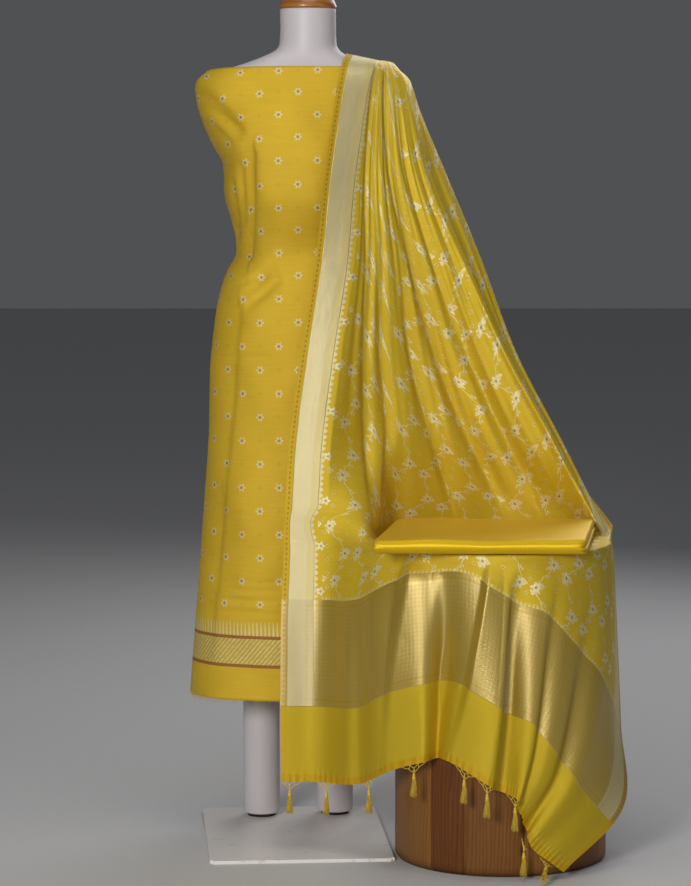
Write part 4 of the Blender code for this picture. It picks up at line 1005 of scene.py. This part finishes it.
def kameez_surface(heights, angles, side):
    """Points of the kameez's outer surface, rows by columns; side -1 is the front panel."""
    table = np.array(KAMEEZ_SECTIONS)
    sizes = spline(table[:, 0], table[:, 1:], heights)
    heights = heights[:, None]
    x, y = ovals(sizes, angles, KAMEEZ_POWER)
    turned = np.abs(np.sin(angles))
    rise = smooth_step((heights - KAMEEZ_TOP_FROM) / (table[-1, 0] - KAMEEZ_TOP_FROM))
    press_from, press_over, press = KAMEEZ_PRESS
    z = heights + rise * KAMEEZ_TOP_RISE[side] * turned**.5
    z = z - press * rise * smooth_step((x - press_from) / press_over)
    push = np.zeros_like(z)
    for fold_side, x1, z1, x2, z2, left, right, depth in KAMEEZ_FOLDS:
        if fold_side != side:
            continue
        run = np.array((x2 - x1, z2 - z1))
        share = ((x - x1) * run[0] + (z - z1) * run[1]) / np.dot(run, run)
        near = np.clip(share, 0.0, 1.0)
        away = np.hypot(x - x1 - near * run[0], z - z1 - near * run[1])
        half = np.where((x - x1) * run[1] - (z - z1) * run[0] < 0, right, left)
        push += depth * np.exp(-((away / half) ** 2)) * (.55 + .45 * np.sin(math.pi * near))
    push += crumple(x, z, KAMEEZ_CRUMPLE, side) * smooth_step((table[-1, 0] - heights) / .05)
    push *= smooth_step(turned / SIDE_FADE)
    scale = 1 - push / np.maximum(np.hypot(x, y), .05)
    return np.stack([x * scale, y * scale, z], axis=2)


def build_kameez():
    cloth = kameez_material()
    for name, side, columns, rows in KAMEEZ_PANELS:
        heights = np.linspace(KAMEEZ_SECTIONS[0][0], KAMEEZ_SECTIONS[-1][0], rows)
        angles = math.pi * np.linspace(0.0, 1.0, columns) + (math.pi if side < 0 else 0.0)
        points = kameez_surface(heights, angles, side)
        points[:, (0, -1), 1] = side * HIP_JOIN / 2
        across = run_length(points, 1)
        flat = np.stack([across - across[:, columns // 2, None], run_length(points)], axis=2)
        panel = add_grid(f"{name}_cloth", points, cloth, flat)
        wall = panel.modifiers.new("wall", "SOLIDIFY")
        wall.thickness, wall.offset = KAMEEZ_SHELL, -1.0
        place_piece(panel, [name])
        threads = build_hem_threads(f"{name}_threads", points[0], side)
        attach(threads, ROOT)


def build_hem_threads(name, hem, side):
    """Loose weft and warp ends at the raw hem."""
    rng = np.random.default_rng(SEED + 20 + side)
    threads = Tubes()
    line = hem[2:-2]
    steps = np.linspace(0.0, 1.0, 4)
    for _ in range(HEM_THREADS):
        at = rng.uniform(0, len(line) - 1)
        low = int(at)
        root = line[low] + (line[min(low + 1, len(line) - 1)] - line[low]) * (at - low)
        length = rng.uniform(.4, 1.0) * HEM_THREAD_LENGTH
        lean = rng.normal(0.0, HEM_THREAD_LEAN, 2) * length
        path = root + np.outer(steps**1.6, (*lean, 0.0)) - np.outer(steps, (0.0, 0.0, length))
        threads.add(path + (0.0, 0.0, HEM_THREAD_RISE), HEM_THREAD_RADIUS * (1.0 - .5 * steps), sides=3)
    return threads.build(name, thread_material())


# ---- dupatta
def on_shoulder(places):
    """The given places in x and y, at the height of the cloth on top of the form's shoulder."""
    x, y = places.T
    top, slope, end, end_slope, rounding = SHOULDER
    ridge = top - slope * x - end_slope * np.maximum(x - end, 0.0)
    return np.column_stack([x, y, ridge - y * y / (2 * rounding)])


def between_edges(row, shares, stations, line):
    """Row of points through stations of a line in x and y, rising evenly from its first height to its second."""
    x, y = (np.interp(shares, stations, values) for values in np.asarray(line).T)
    return np.column_stack([x, y, row[0] + (row[1] - row[0]) * shares])


def fan_section(row, shares):
    """Points of one cross-section of the fan at the given shares of the width."""
    start, edge, outer, tucked = np.reshape(row[2:10], (4, 2))
    border, bow = row[10:]
    heading = (edge - start) / np.linalg.norm(edge - start)
    inner = start + heading * border - (0.0, BORDER_PROUD)
    stations = (0.0, BORDER_SHARE, EDGE_SHARE, OUTER_SHARE, 1.0)
    points = between_edges(row, shares, stations, (start, inner, edge, outer, tucked))
    middle = np.clip((shares - BORDER_SHARE) / (EDGE_SHARE - BORDER_SHARE), 0.0, 1.0)
    points[:, 1] += bow * np.sin(math.pi * middle)
    return points


def guide_rows(shares):
    """Rows of points from the front hem to the back hem, each across the whole width.

    Also gives the numbers of the rows at the front hem, drum lip, back of the drum top and shoulder.
    """
    lines = np.array(DRAPE_LINES)
    knots, lips = lines[:, 0], lines[:, 10:]
    rim, back = lips[:, :2], lips[:, 3:5]
    low, high = LIP_HEIGHT + lips[:, 2:3], LIP_HEIGHT + lips[:, 5:6]
    outward = rim - DRUM_CENTRE
    outward /= np.linalg.norm(outward, axis=1, keepdims=True)
    held = smooth_step((knots[:, None] - FREE_SHARES[0]) / (FREE_SHARES[1] - FREE_SHARES[0]))
    run = np.linalg.norm(back - rim, axis=1, keepdims=True)
    step = (back - rim) / run * np.minimum(INSIDE_RUN, INSIDE_SHARE * run)
    rows = [
        *(lines[:, i:i + 3] for i in (1, 4, 7)),
        np.hstack([rim + outward * UNDER_LIP[0] * held, low - UNDER_LIP[1]]),
        np.hstack([rim, low + LIP_RISE * held]),
    ]
    lip_row = len(rows) - 1
    on_top = (rim + step, rim + (back - rim) * MIDDLE_SHARE, back - step * REAR_SHARE)
    for share, place in zip(TOP_RISES, on_top):
        free = rim + (back - rim) * share
        rows.append(np.hstack([free + (place - free) * held, low + (high - low) * share]))
    rows.append(np.hstack([back, high]))
    rear_row = len(rows) - 1
    rows = [spline(knots, row, shares) for row in rows]
    rows += [fan_section(row, shares) for row in FAN_SECTIONS]
    shoulder_row = len(rows)
    stations, *places = np.array(SHOULDER_LINE).T
    top = np.column_stack([np.interp(shares, stations, values) for values in places])
    rows.append(on_shoulder(top))
    top[:, 1] += SHOULDER_DEPTH[0] + SHOULDER_DEPTH[1] * shares
    rows.append(on_shoulder(top))
    rows += [between_edges(row, shares, (0.0, BORDER_SHARE, 1.0), np.reshape(row[2:], (3, 2)))
             for row in BACK_SECTIONS]
    return np.array(rows), (0, lip_row, rear_row, shoulder_row)


def along_warps(shares, stages):
    """Points at the given stages of each warp line.

    Stage 0 is the front hem, 1 the drum's lip, 2 the back of its top, 3 the shoulder and 4 the back hem.
    """
    rows, marked = guide_rows(shares)
    points = np.empty((len(stages), len(shares), 3))
    for c in range(len(shares)):
        chord = run_length(rows[:, c])
        fine = np.linspace(0.0, chord[-1], WARP_SAMPLES)
        curve = spline(chord, rows[:, c], fine)
        length = run_length(curve)
        marks = np.interp(chord[list(marked)], fine, length)
        distances = np.interp(stages, range(5), (*marks, DUPATTA_LENGTH))
        for i in range(3):
            points[:, c, i] = np.interp(distances, length, curve[:, i])
    return points


def rest_on_drum(points):
    """Move points that would be inside the drum up on its top or out to its side."""
    offset = points[..., :2] - DRUM_CENTRE
    radius = np.linalg.norm(offset, axis=-1)
    least = DRUM_RADIUS + CLOTH_REST
    over = radius < least
    on_top = over & (points[..., 2] > DRUM_HEIGHT - UNDER_LIP[1] / 2)
    points[..., 2] = np.where(on_top, np.maximum(points[..., 2], LIP_HEIGHT), points[..., 2])
    scale = np.where(over & ~on_top, least / np.maximum(radius, 1e-6), 1.0)
    points[..., :2] = offset * scale[..., None] + DRUM_CENTRE
    return points


def courses(shares, stages):
    """Share of the width; how far below the lip, up the fan and up the fan without its end, rows by columns."""
    stages = stages[:, None]
    climb = stages - 2.0
    return shares[None, :], 1.0 - np.clip(stages, 0.0, 1.0), climb, np.clip(climb, 0.0, 1.0)


def valley(shares, centre, half, sharp):
    """Cross-section of one valley, steeper on its left side."""
    side = np.where(shares < centre, sharp, VALLEY_EASE)
    return np.exp(-(((shares - centre) / (half * side)) ** 2))


def fold_depth(shares, stages, plain):
    """How far the cloth is moved out of its plain course by its folds, rows by columns."""
    s, drop, climb, rise = courses(shares, stages)
    depth = np.zeros((len(stages), len(shares)))
    for top_share, low_share, half, size in HANG_VALLEYS:
        centre = top_share + (low_share - top_share) * drop
        depth -= size * valley(s, centre, half, HANG_SHARPNESS) * smooth_step(drop / HANG_VALLEY_START)
    width = run_length(plain, 1)[:, -1:]
    start, grow, fade_top, fade_out = FAN_FADES
    on_fan = smooth_step((climb - start) / grow) * smooth_step((1.0 - climb) / fade_top)
    for top_share, low_share, half, size, reach in FAN_VALLEYS:
        centre = low_share + (top_share - low_share) * rise**FAN_VALLEY_BEND
        fade = smooth_step((reach - climb) / fade_out + .5)
        shape = valley(s, centre, half / width, FAN_SHARPNESS)
        depth -= size * shape * on_fan * fade * (1.0 - FAN_VALLEY_THINNING * rise)
    fall = smooth_step((climb - BACK_FOLD_START) / BACK_FOLD_GROW)
    turn = 2 * math.pi * BACK_FOLDS * (s - BORDER_SHARE) / (1 - BORDER_SHARE)
    folds = np.cos(turn + .3 * np.sin(3.1 * climb + 4.0 * s)) * smooth_step((s - BORDER_SHARE) / BACK_FOLD_EDGE)
    folds *= smooth_step((1.03 - s) / BACK_FOLD_EDGE)
    return depth + BACK_FOLD_DEPTH * folds * fall * (.75 + .25 * np.sin(9.0 * s + 1.0))


def fine_folds(shares, stages):
    """Small pleats, ripples and hem puckers on top of the main folds, in metres."""
    s, drop, climb, rise = courses(shares, stages)
    inner = smooth_step((s - BORDER_SHARE) / .03) * smooth_step((1.0 - s) / .04)
    on_fan = inner * smooth_step(climb / .25) * smooth_step((.95 - climb) / .3)
    on_hang = smooth_step(drop / .5)
    depth = np.zeros((len(stages), len(shares)))
    for ripples, across, along, reach in (
        (FAN_RIPPLES, s - BORDER_SHARE, rise, on_fan), (HANG_RIPPLES, s, drop, on_hang),
    ):
        for count, size, turn, start in ripples:
            depth += size * np.sin(2 * math.pi * (count * across + turn * along) + start) * reach
    for top_left, low_left, right, height in HANG_FACES:
        left = top_left + (low_left - top_left) * drop
        face = np.clip((right - s) / (right - left), 0.0, 1.0) * smooth_step((s - left) / FACE_STEP + 1.0)
        depth += height * face * smooth_step(drop / .15) * (1.0 - .85 * smooth_step((drop - .45) / .45))
    pucker = np.sin(2 * math.pi * HEM_PUCKERS * s + 1.3 * np.sin(2 * math.pi * 11 * s))
    return depth + HEM_PUCKER_DEPTH * pucker * smooth_step((drop - .93) / .07)


def hidden_shares(shares, stages, width):
    """Of the cloth hidden in folds, the share that lies left of each point, rows by columns."""
    s, _, climb, rise = courses(shares, stages)
    swallow = HIDDEN_RUN / width
    fan = TUCK_HIDDEN * smooth_step((s - TUCK_SHARE) / swallow + .5)
    whole = np.full((len(stages), 1), TUCK_HIDDEN)
    for (top_share, low_share, _, _, reach), mass in zip(FAN_VALLEYS, FAN_HIDDEN):
        centre = low_share + (top_share - low_share) * rise**FAN_VALLEY_BEND
        amount = mass * smooth_step((reach - climb) / .3 + .5)
        fan += amount * smooth_step((s - centre) / swallow + .5)
        whole += amount
    fan /= whole
    turns = BACK_FOLDS * (s - BORDER_SHARE) / (1 - BORDER_SHARE) + .5
    steps = np.floor(turns) + smooth_step((turns - np.floor(turns) - 1.0) / BACK_HIDDEN_RUN + 1.0)
    back = np.clip(steps / BACK_FOLDS, 0.0, 1.0)
    return fan + (back - fan) * smooth_step((climb - 1.0) / .25)


def flat_places(shares, stages, plain, points):
    """Place of each point on the flat cloth; what a row lacks in width is hidden in its folds."""
    across = run_length(points, 1)
    width = across[:, -1:]
    spare = np.maximum(DUPATTA_WIDTH - width, 0.0)
    opened = across + spare * hidden_shares(shares, stages, width)
    opened *= DUPATTA_WIDTH / opened[:, -1:]
    evenly = across * DUPATTA_WIDTH / width
    folded = smooth_step((stages[:, None] - 1.5) / .5)
    return np.stack([evenly + (opened - evenly) * folded, run_length(plain)], axis=2)


def build_dupatta():
    shares = np.linspace(0.0, 1.0, DRAPE_COLUMNS)
    stretches = [np.linspace(start, start + 1, rows, endpoint=False) for start, rows in enumerate(DRAPE_ROWS)]
    stages = np.concatenate([*stretches, [len(DRAPE_ROWS)]])
    plain = along_warps(shares, stages)
    moved = fold_depth(shares, stages, plain) + fine_folds(shares, stages)
    points = rest_on_drum(plain + grid_normals(plain) * moved[:, :, None])
    cloth = add_grid("dupatta_cloth", points, dupatta_material(), flat_places(shares, stages, plain, points))
    place_piece(cloth, ["dupatta_front_hang", "dupatta_fan", "dupatta_back_fall"])
    tassels = build_tassels(shares, points[0], points[-1])


# ---- tassels
def along_hem(shares, hem, share):
    """Function that gives the hem's point at a distance from the given share of the width."""
    width = run_length(hem)
    here = float(np.interp(share, shares, width))
    return lambda offset: Vector([np.interp(here + offset, width, values) for values in hem.T])


def fall_heading(height):
    """The way a tassel hangs; it lies forward on the floor where the hem is too low."""
    need = TASSEL_NET_DROP + TASSEL_HEAD_DROP + TASSEL_STRAND_LENGTH
    if height < need + TASSEL_FLOOR_CLEAR:
        return Vector((*TASSEL_LYING, -max(height - TASSEL_FLOOR_REST, 0.0) / need)).normalized()
    return Vector((0.0, 0.0, -1.0))


def sagging(start, end, sag):
    """Short cord from start to end that hangs a little."""
    steps = np.linspace(0.0, 1.0, 5)
    return [start.lerp(end, step) - Vector((0.0, 0.0, sag * math.sin(math.pi * step))) for step in steps]


def build_tassel(name, row, shares, hem, rng):
    """Knotted net below the hem that gathers into a bound head with loose strands."""
    share, half, shift = row
    on_hem = along_hem(shares, hem, share)
    beside = Vector((shift, 0.0, 0.0))
    middle = on_hem(0.0) + beside
    heading = fall_heading(middle.z)
    low = middle + heading * TASSEL_NET_DROP
    body = Tubes()
    above = [on_hem(k * half * NET_SPREAD) + beside for k in NET_ENDS]
    for sink, sag in zip(NET_SINKS, NET_SAGS):
        knots = []
        for ends in zip(above, above[1:]):
            knot = ((ends[0] + ends[1]) / 2).lerp(low, sink)
            for end in ends:
                body.add(sagging(end, knot, sag), NET_CORD_RADIUS)
            body.add([knot + heading * drop for drop in NET_KNOT_DROPS], NET_KNOT_RADII)
            knots.append(knot)
        above = knots
    for knot in above:
        body.add(sagging(knot, low, NET_LAST_SAG), NET_CORD_RADIUS)
    radii, drops = zip(*TASSEL_HEAD_FORM)
    body.add([low + heading * drop for drop in drops], radii, sides=10)
    turn = heading.to_track_quat("Z", "Y")
    root = low + heading * TASSEL_HEAD_DROP
    for k in range(TASSEL_THREADS):
        angle = GOLDEN_ANGLE * k
        out = math.sqrt((k + .5) / TASSEL_THREADS)
        side = turn @ Vector((math.cos(angle), math.sin(angle), 0.0))
        reach = TASSEL_STRAND_LENGTH * rng.uniform(.86, 1.0)
        path = []
        for step in np.linspace(0.0, 1.0, 6):
            spread = out * (TASSEL_ROOT_RADIUS + (TASSEL_TIP_RADIUS - TASSEL_ROOT_RADIUS) * step**1.3)
            wander = TASSEL_WANDER * math.sin(5.0 * step + k)
            path.append(root + side * (spread + wander) + heading * (reach * step - .001))
        body.add(path, TASSEL_THREAD_RADIUS, sides=4)
    return body.build(name, tassel_material())


def build_tassels(shares, front_hem, back_hem):
    rng = np.random.default_rng(SEED + 40)
    made = []
    for side, rows, hem in (("front", TASSELS_FRONT, front_hem), ("back", TASSELS_BACK, back_hem)):
        for i, row in enumerate(rows, 1):
            item = build_tassel(f"tassel_{side}_{i}_threads", row, shares, hem, rng)
            place_piece(item, [f"tassel_{side}_{i}"])
            made.append(item)
    return made


# ---- salwar cloth, folded
def stack_ring(inset, end_inset):
    """Rounded outline of the stack; the right end, where its layers show, has an inset of its own."""
    corners = [np.array(p) for p in SALWAR_CORNERS]
    radius = SALWAR_CORNER_RADIUS + STACK_CORNER_GROWTH * max(inset, end_inset)
    sides = []
    for i, (a, b) in enumerate(zip(corners, corners[1:] + corners[:1])):
        run = (b - a) / np.linalg.norm(b - a)
        move = -np.array((run[1], -run[0])) * (end_inset if i == 1 else inset)
        sides.append((a + run * radius + move, b - run * radius + move, b + move, move))
    ring = []
    for (start, end, corner, _), (following, _, _, move) in zip(sides, sides[1:] + sides[:1]):
        ring += [start + (end - start) * k / (STACK_SIDE_POINTS - 1) for k in range(STACK_SIDE_POINTS)]
        for t in np.arange(1, STACK_CORNER_POINTS) / STACK_CORNER_POINTS:
            ring.append((1 - t) ** 2 * end + 2 * t * (1 - t) * (corner + move) + t * t * following)
    return np.array(ring)


def roll_inset(share, depth):
    """How far a rounded edge stands back at this share of its height."""
    return depth * (1.0 - math.sqrt(max(1.0 - (2.0 * share - 1.0) ** 2, 0.0)))


def build_salwar():
    """Soft roll at the front, left and back, folded layers at the right end, a slack top."""
    centre = np.mean(np.array(SALWAR_CORNERS), axis=0)
    rim = stack_ring(STACK_ROLL, STACK_LAYER_DEPTH)
    rings = []

    def add_ring(ring, rise):
        rings.append(np.column_stack([ring, np.full(len(ring), SALWAR_BASE + rise)]))

    for scale in STACK_UNDER_RINGS:
        add_ring(centre + (rim - centre) * scale, STACK_UNDER_RISE * smooth_step((1.0 - scale) / .06))
    for share in np.linspace(0.0, 1.0, STACK_LEVELS):
        layer = (share * STACK_LAYERS) % 1.0 if share < 1.0 else 1.0
        end_inset = STACK_LAYER_SHIFT * math.sin(2.1 * share * STACK_LAYERS) ** 2
        end_inset += roll_inset(layer, STACK_LAYER_DEPTH)
        add_ring(stack_ring(roll_inset(share, STACK_ROLL), end_inset), share * SALWAR_TOP)
    for scale in STACK_TOP_RINGS:
        slack = STACK_SLACK * smooth_step((1.0 - scale) / .5)
        add_ring(centre + (rim - centre) * scale, SALWAR_TOP - slack)
    points = np.array(rings)
    upper = smooth_step((points[..., 2] - SALWAR_BASE) / SALWAR_TOP - .2)
    points[..., 2] -= (.5 + crumple(points[..., 0], points[..., 1], .5, 5)) * STACK_CRUMPLE * upper
    item = add_grid("salwar_folded_cloth", points, salwar_material(), points[..., :2], closed=True)
    close_ends(item, points.shape[1])
    place_piece(item, ["salwar_folded"])


def close_ends(item, columns):
    """Fill the small holes left in the middle of the top and the underside."""
    bm = bmesh.new()
    bm.from_mesh(item.data)
    bmesh.ops.holes_fill(bm, edges=bm.edges, sides=columns + 1)
    bm.to_mesh(item.data)
    bm.free()


# ---- the whole scene
def main():
    for build in (build_camera, build_studio, build_form, build_drum, build_kameez, build_dupatta, build_salwar):
        build()


main()
